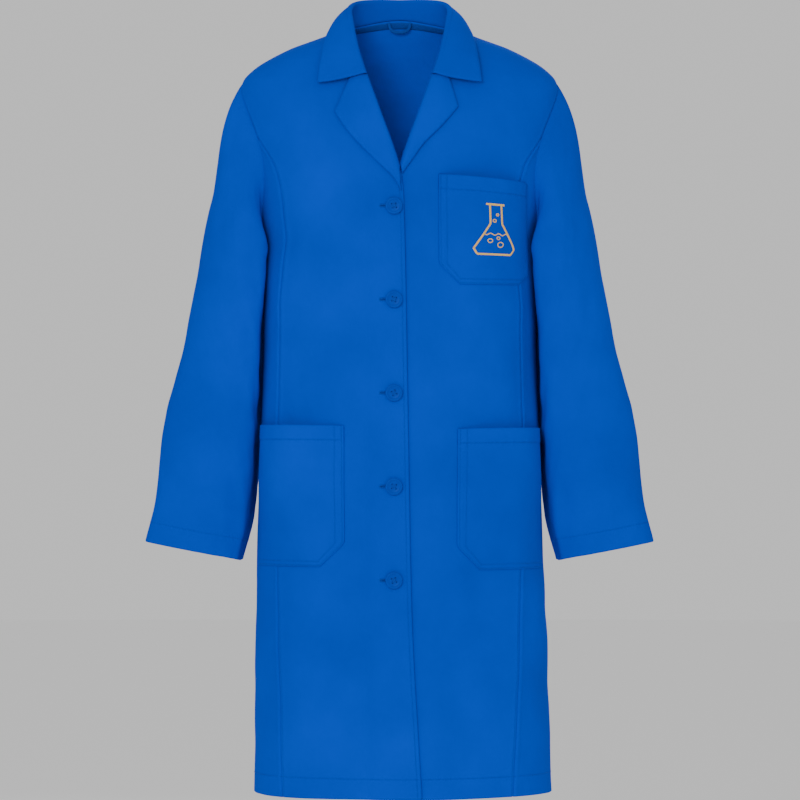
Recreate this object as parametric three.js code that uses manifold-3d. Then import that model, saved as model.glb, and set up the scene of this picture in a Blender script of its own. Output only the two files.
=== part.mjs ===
// Women's lab coat as it hangs when worn: fronts, side panels, back, sleeves, notched collar,
// three patch pockets, five sewn buttons and their buttonholes, and a loop to hang it by.
// Millimetres, +Z up, the front faces -Y, the wearer's left is +X.
// The origin is at the centre back of the neck seam, where the loop hangs the coat.
import * as THREE from 'three';
import { mergeVertices } from 'three/addons/utils/BufferGeometryUtils.js';
import Module from 'manifold-3d';

const wasm = await Module();
wasm.setup();

// ---- driving dimensions ---------------------------------------------------------------
const clothThickness = 1.2;      // a seamed layer of cloth, with its turnings
const layerGap = 0.5;            // between two layers that lie on each other
const seamGap = 0.4;             // between two panels along their seam
const armholeGap = 1.6;          // between a panel and the sleeve, measured round the body
const coatLength = 1004;         // back neck seam to hem
const neckPointDrop = 14;        // where shoulder seam and neck seam meet
const shoulderTipDrop = 84;      // top of the armhole
const armpitDrop = 299;          // bottom of the armhole
const waistDrop = 404;
const hipDrop = 601;
const neckHalfWidth = 72;
const shoulderTipHalfWidth = 203;
const armpitHalfWidth = 178;
const waistHalfWidth = 177;
const hipHalfWidth = 183;
const hemHalfWidth = 192.5;
const chestFrontDepth = 122;     // from the middle of the body to the front
const chestBackDepth = 109;
const hemFrontDepth = 142;
const hemBackDepth = 135;
const neckBackDepth = 50;
const frontScoop = 25;           // degrees that the armhole cuts into the front and the back
const backScoop = 20;
const vPointDrop = 194;          // where the lapels cross
const frontSplitDrop = 354;      // below it the fronts swing, down to the hem
const bandHalfWidth = 46;        // the strip with the buttons swings up to the V point
const bandTopDrop = 199;
const underlap = 24;             // the left front passes this far under the right one
const overlapAtTop = 5;
const overlapAtHem = 27;
const buttonCount = 5;
const buttonTopDrop = 249.5;
const buttonPitch = 119.2;
const buttonDiameter = 22;
const buttonThickness = 3.2;
const buttonX = -7;
const buttonholeLength = 20;
const buttonholeWidth = 3.2;
const shankRadius = 1.1;
const threadHoleRadius = 1.1;
const threadHoleOffset = 2.4;
const lowerPocketTopDrop = 530;
const lowerPocketHeight = 178;
const lowerPocketInnerX = 75;
const lowerPocketOuterAngle = 80;
const chestPocketTopDrop = 209;
const chestPocketHeight = 140;
const chestPocketInnerX = 51;
const chestPocketWidth = 113;
const pocketCornerCut = 26;
const pocketGap = 0.8;           // between a pocket's edge and the front
const pocketBulge = 18;          // how far the filled middle stands off the front
const sleeveCuffDrop = 704;      // inner corner of the cuff
const sleeveStandOff = 4.5;      // gap between sleeve and body where they hang side by side
const cuffWidth = 127;
const cuffDepth = 64;
const bicepWidth = 101;
const bicepDepth = 128;
const collarStandHeight = 27;
const collarFallWidth = 67;
const lapelThickness = 2.2;
const loopHalfWidth = 14;
const loopDrop = 15;
const loopRibbon = 4;
const emblemHeight = 66;
const emblemLine = 3;
const emblemThread = 0.6;
const emblemGap = 0.6;

// ---- materials ------------------------------------------------------------------------
const finish = (color, roughness) => new THREE.MeshStandardMaterial({ color, roughness, metalness: 0 });
const cloth = finish(0x0a5cc4, 0.85);
const clothInside = finish(0x084c9f, 0.88);
const buttonPlastic = finish(0x1463bd, 0.35);
const sewingThread = finish(0x0b4fa8, 0.75);
const goldThread = finish(0xe9bd68, 0.5);

// ---- small geometry tools --------------------------------------------------------------
const coat = new THREE.Group();
const toRadians = THREE.MathUtils.degToRad;
const clamp = THREE.MathUtils.clamp;
const mix = THREE.MathUtils.lerp;
const ease = (t) => THREE.MathUtils.smoothstep(t, 0, 1);

// Smooth curve through [position, value] pairs, without overshoot between them.
function profile(pairs) {
  const points = [...pairs].sort((p, q) => p[0] - q[0]);
  const last = points.length - 1;
  const slope = points.map((p, i) => {
    if (i === 0 || i === last) return 0;
    const before = (p[1] - points[i - 1][1]) / (p[0] - points[i - 1][0]);
    const after = (points[i + 1][1] - p[1]) / (points[i + 1][0] - p[0]);
    return before * after <= 0 ? 0 : (2 * before * after) / (before + after);
  });
  slope[0] = (points[1][1] - points[0][1]) / (points[1][0] - points[0][0]);
  slope[last] = (points[last][1] - points[last - 1][1]) / (points[last][0] - points[last - 1][0]);
  return (at) => {
    const x = clamp(at, points[0][0], points[last][0]);
    let i = 0;
    while (i < last - 1 && x > points[i + 1][0]) i += 1;
    const width = points[i + 1][0] - points[i][0];
    const t = (x - points[i][0]) / width;
    const rise = t * t * (3 - 2 * t);
    const start = t * (1 - t) * (1 - t) * width * slope[i];
    const end = t * t * (t - 1) * width * slope[i + 1];
    return mix(points[i][1], points[i + 1][1], rise) + start + end;
  };
}

// Splits the stretches between the given stations into steps no longer than `step`.
function stations(marks, step) {
  const list = [marks[0]];
  for (let i = 1; i < marks.length; i += 1) {
    const count = Math.max(1, Math.ceil(Math.abs(marks[i] - marks[i - 1]) / step));
    for (let k = 1; k <= count; k += 1) list.push(mix(marks[i - 1], marks[i], k / count));
  }
  return list;
}

function addMesh(name, geometry, material) {
  const mesh = new THREE.Mesh(geometry, material);
  mesh.name = name;
  coat.add(mesh);
  return mesh;
}

function signedVolume(points, faces) {
  let sum = 0;
  for (const [a, b, c] of faces) {
    const cross = new THREE.Vector3().crossVectors(points[b], points[c]);
    sum += points[a].dot(cross);
  }
  return sum / 6;
}

function solidGeometry(points, faces) {
  const facing = signedVolume(points, faces) < 0 ? faces.map(([a, b, c]) => [a, c, b]) : faces;
  const geometry = new THREE.BufferGeometry();
  geometry.setAttribute('position', new THREE.Float32BufferAttribute(points.flatMap((p) => p.toArray()), 3));
  geometry.setIndex(facing.flat());
  geometry.computeVertexNormals();
  return geometry;
}

// A sheet of cloth: `at(u, v)` is its outer surface over the stations us and vs, and the sheet
// lies `thickness` behind it, on the side of the point `within(point)`. closed joins the last
// column to the first, and keep(column, row) leaves out the cells where there is no cloth.
function sheet({ at, us, vs, thickness = clothThickness, within, closed = false, keep = () => true }) {
  const tiny = 1e-3;
  const outer = [];
  const inner = [];
  const columns = closed ? us.length - 1 : us.length;
  for (const v of vs) {
    for (let i = 0; i < columns; i += 1) {
      const u = us[i];
      const point = at(u, v);
      const u0 = closed ? u - tiny : Math.max(u - tiny, us[0]);
      const u1 = closed ? u + tiny : Math.min(u + tiny, us[us.length - 1]);
      const along = at(u1, v).sub(at(u0, v));
      const v0 = Math.max(v - tiny, vs[0]);
      const v1 = Math.min(v + tiny, vs[vs.length - 1]);
      const normal = along.cross(at(u, v1).sub(at(u, v0))).normalize();
      const behind = within(point).sub(point);
      if (normal.dot(behind) > 0) normal.negate();
      outer.push(point);
      inner.push(point.clone().addScaledVector(normal, -thickness));
    }
  }
  const count = outer.length;
  const spans = closed ? columns : columns - 1;
  const rows = vs.length - 1;
  const index = (column, row) => row * columns + (column % columns);
  const held = (column, row) => {
    const inColumns = closed || (column >= 0 && column < spans);
    return inColumns && row >= 0 && row < rows && keep((column + spans) % spans, row);
  };
  const faces = [];
  const quad = (a, b, c, d) => faces.push([a, b, c], [a, c, d]);
  for (let row = 0; row < rows; row += 1) {
    for (let column = 0; column < spans; column += 1) {
      if (!held(column, row)) continue;
      const a = index(column, row);
      const b = index(column + 1, row);
      const c = index(column + 1, row + 1);
      const d = index(column, row + 1);
      quad(a, b, c, d);
      quad(count + a, count + d, count + c, count + b);
      if (!held(column, row - 1)) quad(b, a, count + a, count + b);
      if (!held(column, row + 1)) quad(d, c, count + c, count + d);
      if (!held(column - 1, row)) quad(a, d, count + d, count + a);
      if (!held(column + 1, row)) quad(c, b, count + b, count + c);
    }
  }
  return solidGeometry([...outer, ...inner], faces);
}

const span = (count) => Array.from({ length: count + 1 }, (_, i) => i / count);

// ---- booleans ---------------------------------------------------------------------------
function toManifold(geometry) {
  const bare = geometry.clone();
  bare.deleteAttribute('normal');
  bare.deleteAttribute('uv');
  const merged = mergeVertices(bare, 1e-4);
  const vertProperties = new Float32Array(merged.attributes.position.array);
  const triVerts = new Uint32Array(merged.index.array);
  return new wasm.Manifold(new wasm.Mesh({ numProp: 3, vertProperties, triVerts }));
}

function fromManifold(solid) {
  const mesh = solid.getMesh();
  const geometry = new THREE.BufferGeometry();
  geometry.setAttribute('position', new THREE.BufferAttribute(new Float32Array(mesh.vertProperties), 3));
  geometry.setIndex(Array.from(mesh.triVerts));
  geometry.computeVertexNormals();
  return geometry;
}

// ---- the body's surface -----------------------------------------------------------------
// Level sections are ellipses: half-width over the height, with a front and a back depth.
const bodyHalfWidth = profile([
  [-coatLength, hemHalfWidth],
  [-hipDrop, hipHalfWidth],
  [-waistDrop, waistHalfWidth],
  [-armpitDrop, armpitHalfWidth],
  [-armpitDrop + 45, armpitHalfWidth + 8],
  [-(armpitDrop + shoulderTipDrop) / 2, (armpitHalfWidth + shoulderTipHalfWidth) / 2 + 3],
  [-shoulderTipDrop - 34, shoulderTipHalfWidth + 1],
  [-shoulderTipDrop - 12, shoulderTipHalfWidth + 3],
  [-shoulderTipDrop, shoulderTipHalfWidth],
  [-shoulderTipDrop + 16, mix(shoulderTipHalfWidth, neckHalfWidth, 0.11)],
  [-shoulderTipDrop + 42, mix(shoulderTipHalfWidth, neckHalfWidth, 0.46)],
  [-neckPointDrop - 12, mix(shoulderTipHalfWidth, neckHalfWidth, 0.79)],
  [-neckPointDrop, neckHalfWidth],
  [0, neckHalfWidth - 16],
]);
const frontDepth = profile([
  [-coatLength, hemFrontDepth],
  [-hipDrop, chestFrontDepth + 4],
  [-waistDrop, chestFrontDepth - 4],
  [-armpitDrop, chestFrontDepth - 1],
  [-armpitDrop + 90, chestFrontDepth],
  [-shoulderTipDrop - 48, chestFrontDepth - 12],
  [-shoulderTipDrop, chestFrontDepth - 28],
  [-shoulderTipDrop + 42, chestFrontDepth - 49],
  [-neckPointDrop - 12, chestFrontDepth - 60],
  [-neckPointDrop, chestFrontDepth - 70],
  [0, chestFrontDepth - 78],
]);
const backDepth = profile([
  [-coatLength, hemBackDepth],
  [-hipDrop, chestBackDepth + 7],
  [-waistDrop, chestBackDepth - 5],
  [-armpitDrop, chestBackDepth - 3],
  [-armpitDrop + 90, chestBackDepth],
  [-shoulderTipDrop - 48, chestBackDepth - 4],
  [-shoulderTipDrop, chestBackDepth - 18],
  [-shoulderTipDrop + 42, neckBackDepth + 21],
  [-neckPointDrop - 12, neckBackDepth + 12],
  [-neckPointDrop, neckBackDepth + 6],
  [0, neckBackDepth],
]);

// Angles run from the centre front (0) over the side (90) to the centre back (180).
function bodyPoint(angle, z) {
  const turn = toRadians(angle);
  const depth = Math.cos(turn) > 0 ? frontDepth(z) : backDepth(z);
  return new THREE.Vector3(bodyHalfWidth(z) * Math.sin(turn), -depth * Math.cos(turn), z);
}

function bodyNormal(angle, z) {
  const around = bodyPoint(angle + 0.05, z).sub(bodyPoint(angle - 0.05, z));
  const up = bodyPoint(angle, z + 0.05).sub(bodyPoint(angle, z - 0.05));
  const normal = around.cross(up).normalize();
  const outward = bodyPoint(angle, z).setZ(0);
  return normal.dot(outward) < 0 ? normal.negate() : normal;
}

function bodySurface(angle, z, lift = 0) {
  return bodyPoint(angle, z).addScaledVector(bodyNormal(angle, z), lift);
}

const angleAtX = (x, z) => THREE.MathUtils.radToDeg(Math.asin(clamp(x / bodyHalfWidth(z), -1, 1)));
const gapAngle = (gap, z) => THREE.MathUtils.radToDeg(gap / bodyHalfWidth(z));
const bodyCentre = (point) => new THREE.Vector3(0, 0, Math.min(point.z, -shoulderTipDrop));
const mirrored = (side, point) => {
  point.x *= side;
  return point;
};

// ---- seam lines -------------------------------------------------------------------------
function armholeAngle(z, scoop) {
  const height = clamp((z + armpitDrop) / (armpitDrop - shoulderTipDrop), 0, 1);
  return 90 - scoop * Math.sin(Math.PI * height ** 0.95) ** 0.8;
}

const panelTopDrop = mix(armpitDrop, shoulderTipDrop, 0.66);
const panelInset = profile([
  [-coatLength, 44.5],
  [-hipDrop - 110, 30],
  [-hipDrop + 70, 22.5],
  [-waistDrop + 25, 23],
  [-armpitDrop + 62, 36],
  [-armpitDrop + 101, 32],
  [-panelTopDrop, 17],
]);
const frontPanelSeam = (z) => angleAtX(bodyHalfWidth(z) - panelInset(z), z);

function frontSideEdge(z) {
  if (z < -panelTopDrop) return frontPanelSeam(z);
  if (z < -shoulderTipDrop) return Math.max(armholeAngle(z, frontScoop), frontPanelSeam(-panelTopDrop));
  return 90;
}

function backSideEdge(z) {
  if (z < -panelTopDrop) return frontPanelSeam(z);
  if (z < -shoulderTipDrop) return Math.max(armholeAngle(z, backScoop), frontPanelSeam(-panelTopDrop));
  return 90;
}

const gorgeDrop = 79;
const rollLineX = profile([
  [-vPointDrop, 1.5],
  [-vPointDrop + 22, 8.5],
  [-vPointDrop + 76, 28],
  [-gorgeDrop, 44],
]);
const neckSeamX = profile([
  [-gorgeDrop, 50],
  [-mix(neckPointDrop, gorgeDrop, 0.5), 61],
  [-neckPointDrop, neckHalfWidth - 1.5],
]);
const openEdgeX = (z) => (z < -gorgeDrop ? rollLineX(z) : neckSeamX(z));

// Rows that all body panels share, so that two edges of one seam have the same corners.
const splitZ = -frontSplitDrop;
const armpitZ = -armpitDrop;
const panelTopZ = -panelTopDrop;
const panelTipZ = panelTopZ - 12;
const shoulderZ = -shoulderTipDrop + 16;
const seamRows = [
  ...stations([-coatLength, -waistDrop], 75),
  ...stations([-waistDrop, splitZ, armpitZ, panelTipZ], 30).slice(1),
  ...stations([panelTipZ, panelTopZ, -shoulderTipDrop, shoulderZ, -neckPointDrop], 27).slice(1),
];
function rowsBetween(low, high, extra = []) {
  const near = (z) => [low, high, ...extra].some((mark) => Math.abs(mark - z) < 3);
  const between = seamRows.filter((z) => z > low && z < high && !near(z));
  return [low, ...extra, ...between, high].sort((p, q) => p - q);
}

// The right front rises over the left one where they lap.
const lapLift = 2 * (clothThickness + layerGap);
const lapEnd = underlap + 3;
const lapRamp = 18;
const frontLift = (side, across) => (side > 0 ? 0 : lapLift * (1 - ease((across - lapEnd) / lapRamp)));

// ---- fronts: shoulder part ----------------------------------------------------------------
const innerColumns = 3;
const outerColumns = 6;
const frontStations = [...span(innerColumns), ...span(outerColumns).slice(1).map((u) => u + 1)];

function frontUpper(side) {
  const stepZ = -bandTopDrop;
  const zs = rowsBetween(splitZ, -neckPointDrop, [stepZ, -vPointDrop]);
  const at = (u, z) => {
    const inner = angleAtX(openEdgeX(Math.max(z, -vPointDrop)), z);
    const outer = frontSideEdge(z) - gapAngle(z > panelTopZ + 1 ? armholeGap : seamGap, z);
    const band = angleAtX(bandHalfWidth + seamGap, z);
    const spread = ease((z - stepZ) / (-gorgeDrop - stepZ));
    const middle = mix(band, mix(inner, outer, 0.4), spread);
    const angle = u < 1 ? mix(inner, middle, u) : mix(middle, outer, u - 1);
    return mirrored(side, bodySurface(angle, z, frontLift(side, bodyPoint(angle, z).x)));
  };
  return sheet({
    at,
    us: frontStations,
    vs: zs,
    within: bodyCentre,
    keep: (column, row) => column >= innerColumns || zs[row] > stepZ - 1,
  });
}

// ---- fronts: the part that swings ----------------------------------------------------------
const overEdgeX = profile([
  [-coatLength, overlapAtHem],
  [-hipDrop - 150, 14.5],
  [-waistDrop - 90, 10],
  [-bandTopDrop - 38, overlapAtTop],
  [-bandTopDrop, 1],
]);
const underEdgeX = profile([
  [-coatLength, underlap],
  [-bandTopDrop - 55, underlap],
  [-bandTopDrop, 4],
]);
const frontEdge = (side, z) => -(side > 0 ? underEdgeX(z) : overEdgeX(z));

// Across the band: u 0 at the front edge, 0.5 where the lap ends, 1 at the band's outer line.
const bandStations = [0, 0.17, 0.33, 0.5, 0.75, 1];
const bandColumns = bandStations.length - 1;
function acrossBand(side, u, z, margin = 0) {
  const start = frontEdge(side, z) + margin;
  return u < 0.5 ? mix(start, lapEnd, 2 * u) : mix(lapEnd, bandHalfWidth - margin, 2 * u - 1);
}

function frontLower(side) {
  const topZ = -bandTopDrop - seamGap;
  const zs = rowsBetween(-coatLength, topZ, [splitZ - seamGap]);
  const at = (u, z) => {
    const band = angleAtX(acrossBand(side, Math.min(u, 1), z), z);
    const seam = frontPanelSeam(z) - gapAngle(seamGap, z);
    const angle = u <= 1 ? band : mix(band, seam, u - 1);
    return mirrored(side, bodySurface(angle, z, frontLift(side, bodyPoint(angle, z).x)));
  };
  return sheet({
    at,
    us: [...bandStations, ...span(outerColumns).slice(1).map((u) => u + 1)],
    vs: zs,
    within: bodyCentre,
    keep: (column, row) => column < bandColumns || zs[row] < splitZ - 2,
  });
}

// The facing backs the front edge from hem to V point.
function frontFacing(side) {
  const zs = rowsBetween(-coatLength + 4, -bandTopDrop - 8);
  const at = (u, z) => {
    const across = acrossBand(side, u, z, 1);
    const lift = frontLift(side, across) - clothThickness - layerGap;
    return mirrored(side, bodySurface(angleAtX(across, z), z, lift));
  };
  return sheet({ at, us: bandStations, vs: zs, within: bodyCentre });
}

// ---- side panels: one cut piece each side, in three solids so that the front can swing ------
function sidePanelFront(side) {
  const at = (u, z) => {
    const angle = mix(frontPanelSeam(z), 90 - gapAngle(seamGap, z), u);
    return mirrored(side, bodySurface(angle, z));
  };
  return sheet({ at, us: span(3), vs: rowsBetween(-coatLength, splitZ - seamGap), within: bodyCentre });
}

// Edge of the side panel at the armhole, or at the side line below it.
function armholeEdge(z, scoop) {
  return z < armpitZ - 0.3 ? 90 : armholeAngle(z, scoop) - gapAngle(armholeGap, z);
}

function sidePanelUnderarm(side) {
  const at = (u, z) => {
    const outer = armholeEdge(z, frontScoop) - (z < armpitZ - 0.3 ? gapAngle(seamGap, z) : 0);
    return mirrored(side, bodySurface(mix(frontPanelSeam(z), outer, u), z));
  };
  const zs = rowsBetween(splitZ, panelTipZ, [armpitZ - 0.6, armpitZ]);
  return sheet({ at, us: span(3), vs: zs, within: bodyCentre });
}

function sidePanelBack(side) {
  const at = (u, z) => {
    const inner = 180 - armholeEdge(z, backScoop);
    return mirrored(side, bodySurface(mix(inner, 180 - frontPanelSeam(z), u), z));
  };
  const zs = rowsBetween(-coatLength, panelTipZ, [armpitZ - 0.6, armpitZ]);
  return sheet({ at, us: span(4), vs: zs, within: bodyCentre });
}

// ---- back ---------------------------------------------------------------------------------
const neckSeamZ = (angle) => -neckPointDrop * (1 + Math.cos(toRadians(2 * (clamp(angle, 90, 270) - 90)))) / 2;

function backPanel() {
  const at = (u, level) => {
    const gap = gapAngle(level > panelTopZ + 1 && level < -shoulderTipDrop + 1 ? armholeGap : seamGap, level);
    const edge = 180 - backSideEdge(level) + gap;
    const angle = mix(edge, 360 - edge, u);
    const rise = clamp((level - shoulderZ) / (-neckPointDrop - shoulderZ), 0, 1);
    return bodySurface(angle, level + rise * (neckSeamZ(angle) + neckPointDrop));
  };
  return sheet({ at, us: span(14), vs: rowsBetween(-coatLength, -neckPointDrop), within: bodyCentre });
}

// ---- sleeves --------------------------------------------------------------------------------
// Sections run from the underarm fold line (0) to the cuff (1).
const sleeveTopDrop = armpitDrop + 15;
const sleeveSides = 18;
const sleeveInnerZ = profile([[0, -sleeveTopDrop], [1, -sleeveCuffDrop]]);
const sleeveInnerGap = profile([[0, 0.8], [0.3, 1], [0.66, 1.2], [0.85, 2], [1, 4.6]]);
const sleeveWidth = profile([[0, bicepWidth], [0.15, 92], [0.3, 98], [0.66, cuffWidth - 3], [1, cuffWidth]]);
const sleeveTilt = profile([[0, 52], [0.15, 28], [0.3, 12], [0.66, 10], [1, 11]]);
const sleeveDepth = profile([[0, bicepDepth], [0.3, bicepDepth - 12], [0.66, mix(bicepDepth, cuffDepth, 0.6)],
  [1, cuffDepth]]);
const sleeveBackward = profile([[0, 2], [0.15, 8], [0.3, 12], [1, 4]]);

function sleeveRing(turn, v) {
  const z = sleeveInnerZ(v);
  const tilt = toRadians(sleeveTilt(v));
  const halfWidth = sleeveWidth(v) / 2;
  const innerX = bodyHalfWidth(z) + sleeveStandOff * sleeveInnerGap(v);
  const across = halfWidth * (1 + Math.cos(turn));
  return new THREE.Vector3(
    innerX + across * Math.cos(tilt),
    sleeveBackward(v) + (sleeveDepth(v) / 2) * Math.sin(turn),
    z + across * Math.sin(tilt),
  );
}

function sleeveAxis(v) {
  return sleeveRing(0, v).add(sleeveRing(Math.PI, v)).multiplyScalar(0.5);
}

function armholeRing(turn) {
  const z = mix(-armpitDrop, -shoulderTipDrop, (1 + Math.cos(turn)) / 2);
  const back = Math.sin(turn) >= 0;
  const angle = back ? 180 - armholeAngle(z, backScoop) : armholeAngle(z, frontScoop);
  return bodySurface(angle, z).add(new THREE.Vector3(seamGap, 0, 0));
}

const capStart = new THREE.Vector3(0.62, 0, -0.78);
const capEnd = new THREE.Vector3(0.19, 0, -0.98);
function capPoint(turn, v) {
  const from = armholeRing(turn);
  const to = sleeveRing(turn, 0);
  const reach = from.distanceTo(to) / 3;
  const curve = new THREE.CubicBezierCurve3(
    from,
    from.clone().addScaledVector(capStart, reach),
    to.clone().addScaledVector(capEnd, -reach),
    to,
  );
  return curve.getPoint(v);
}

function sleeveCap(side) {
  const at = (u, v) => mirrored(side, capPoint(u * 2 * Math.PI, v * 0.998));
  const within = (point) => mirrored(side, sleeveAxis(0).lerp(new THREE.Vector3(185, 0, -190), 0.5)).setZ(point.z);
  return sheet({ at, us: span(sleeveSides), vs: [0, 0.15, 0.55, 1], within, closed: true });
}

function sleeveTube(side) {
  const at = (u, v) => mirrored(side, sleeveRing(u * 2 * Math.PI, mix(0.0008, 1, v)));
  const within = (point) => {
    const v = clamp((point.z + sleeveTopDrop) / (sleeveTopDrop - sleeveCuffDrop), 0, 1);
    const middle = mirrored(side, sleeveAxis(v));
    return new THREE.Vector3(middle.x, middle.y, point.z);
  };
  return sheet({ at, us: span(sleeveSides), vs: [0, 0.07, 0.15, 0.27, 0.45, 0.7, 1], within, closed: true });
}

// ---- collar -----------------------------------------------------------------------------------
// Round the neck: 0 and 1 at the collar's ends in front, 0.5 at the centre back.
function neckSeamPoint(u) {
  const half = u <= 0.5 ? u : 1 - u;
  const side = u <= 0.5 ? -1 : 1;
  const turnAt = 0.2;
  if (half < turnAt) {
    const z = mix(-gorgeDrop, -neckPointDrop, half / turnAt);
    return mirrored(side, bodySurface(angleAtX(neckSeamX(z), z), z, 0));
  }
  const angle = mix(angleAtX(neckSeamX(-neckPointDrop), -neckPointDrop), 180, (half - turnAt) / (0.5 - turnAt));
  return mirrored(side, bodySurface(angle, neckSeamZ(angle), 0));
}

const rollHalf = new THREE.CatmullRomCurve3([
  new THREE.Vector3(44, -96, -gorgeDrop),
  new THREE.Vector3(55, -75, -44),
  new THREE.Vector3(62, -38, -10),
  new THREE.Vector3(64, -6, collarStandHeight - 14),
  new THREE.Vector3(55, 24, collarStandHeight - 4),
  new THREE.Vector3(31, 43, collarStandHeight),
  new THREE.Vector3(0, neckBackDepth - 1, collarStandHeight),
]);
const rollPoint = (u) => mirrored(u <= 0.5 ? -1 : 1, rollHalf.getPoint(u <= 0.5 ? 2 * u : 2 - 2 * u));
const fallHalf = new THREE.CatmullRomCurve3([
  new THREE.Vector3(105, -90, -gorgeDrop - 7),
  new THREE.Vector3(104, -74, -57),
  new THREE.Vector3(101, -10, -14),
  new THREE.Vector3(90, 40, collarStandHeight - collarFallWidth + 20),
  new THREE.Vector3(50, 68, collarStandHeight - collarFallWidth + 4),
  new THREE.Vector3(0, 79, collarStandHeight - collarFallWidth),
]);
const fallPoint = (u) => mirrored(u <= 0.5 ? -1 : 1, fallHalf.getPoint(u <= 0.5 ? 2 * u : 2 - 2 * u));
const collarUs = span(20);
const collarClearance = 6;

// Moves a point out level until it clears the body's surface.
function clearOfBody(point, clearance) {
  if (point.z > 0) return point;
  const depth = point.y < 0 ? frontDepth(point.z) : backDepth(point.z);
  const reach = Math.hypot(point.x / (bodyHalfWidth(point.z) + clearance), point.y / (depth + clearance));
  if (reach < 1) point.set(point.x / reach, point.y / reach, point.z);
  return point;
}

function collarStand() {
  const at = (u, v) => {
    const seam = neckSeamPoint(u);
    const direction = rollPoint(u).sub(seam);
    const reach = direction.length();
    return seam.addScaledVector(direction.normalize(), mix(seamGap + 1.2, reach - 1, v));
  };
  return sheet({ at, us: collarUs, vs: span(1), within: (p) => new THREE.Vector3(0, -12, p.z) });
}

function collarFall() {
  const foldGap = clothThickness + 2 * layerGap;
  const at = (u, v) => {
    const roll = rollPoint(u);
    const away = new THREE.Vector3(roll.x, roll.y + 12, 0).normalize();
    const start = roll.addScaledVector(away, foldGap);
    const end = fallPoint(u);
    const middle = start.clone().lerp(end, 0.45).addScaledVector(away, 5).add(new THREE.Vector3(0, 0, 4));
    return clearOfBody(new THREE.QuadraticBezierCurve3(start, middle, end).getPoint(v), collarClearance);
  };
  return sheet({ at, us: collarUs, vs: span(3), thickness: 1.6, within: (p) => new THREE.Vector3(0, 0, p.z - 60) });
}

// ---- lapels -----------------------------------------------------------------------------------
function lapel(side) {
  const low = -vPointDrop + (side > 0 ? 14 : 4);
  const tipZ = -120;
  const tipX = 80;
  const edge = new THREE.CatmullRomCurve3([
    new THREE.Vector3(side > 0 ? 14 : 7, 0, low - (side > 0 ? 1 : 3)),
    new THREE.Vector3(38, 0, -163),
    new THREE.Vector3(64, 0, -136),
    new THREE.Vector3(tipX, 0, tipZ),
  ]);
  const notch = new THREE.Vector3(61, 0, -gorgeDrop - 7);
  const tipAt = 0.74;
  const edgePoint = (v) => {
    if (v < tipAt) return edge.getPoint(v / tipAt);
    return new THREE.Vector3(tipX, 0, tipZ).lerp(notch, (v - tipAt) / (1 - tipAt));
  };
  const at = (u, v) => {
    const rollZ = mix(low, -gorgeDrop - 1.5, v);
    const roll = new THREE.Vector3(rollLineX(rollZ) + 0.8, 0, rollZ);
    const flat = roll.lerp(edgePoint(v), u);
    const lift = frontLift(side, flat.x) + layerGap + lapelThickness + 2.2 * Math.sin(Math.PI * u);
    return mirrored(side, bodySurface(angleAtX(flat.x, flat.z), flat.z, lift));
  };
  const vs = [0, 0.2, 0.4, 0.58, tipAt, 0.87, 1];
  return sheet({ at, us: span(4), vs, thickness: lapelThickness, within: bodyCentre });
}

// ---- patch pockets ------------------------------------------------------------------------------
// Sewn down at the sides and the bottom, open at the top, with the lower corners cut off.
function patchPocket({ side, fromX, toX, topZ, bottomZ, cutInner, cutOuter, slope = 0 }) {
  const height = topZ - bottomZ;
  const at = (u, v, raised = 0) => {
    const level = mix(bottomZ, topZ, v);
    const inner = angleAtX(fromX + Math.max(0, cutInner - v * height), level);
    const outer = angleAtX(toX(level) - Math.max(0, cutOuter - v * height), level);
    const angle = mix(inner, outer, u);
    const z = mix(bottomZ, topZ - slope * u, v);
    const swell = pocketBulge * Math.sin(Math.PI * u) * ease(v * 1.5);
    const lift = frontLift(side, bodyPoint(angle, z).x) + pocketGap + clothThickness + swell + raised;
    return mirrored(side, bodySurface(angle, z, lift));
  };
  const cut = Math.max(cutInner, cutOuter) / height;
  const vs = [0, ...span(5).map((v) => mix(cut, 1, v))];
  const us = [0, 0.08, 0.2, 0.35, 0.5, 0.65, 0.8, 0.92, 1];
  return { at, geometry: sheet({ at, us, vs, within: bodyCentre }) };
}

function lowerPocket(side) {
  const bottomZ = -lowerPocketTopDrop - lowerPocketHeight;
  return patchPocket({
    side,
    fromX: lowerPocketInnerX,
    toX: (z) => bodyHalfWidth(z) * Math.sin(toRadians(lowerPocketOuterAngle)),
    topZ: -lowerPocketTopDrop,
    bottomZ,
    cutInner: pocketCornerCut + 3,
    cutOuter: 0,
  });
}

const chestPocket = patchPocket({
  side: 1,
  fromX: chestPocketInnerX,
  toX: () => chestPocketInnerX + chestPocketWidth,
  topZ: -chestPocketTopDrop,
  bottomZ: -chestPocketTopDrop - chestPocketHeight,
  cutInner: pocketCornerCut,
  cutOuter: pocketCornerCut / 2,
  slope: 10,
});

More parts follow.
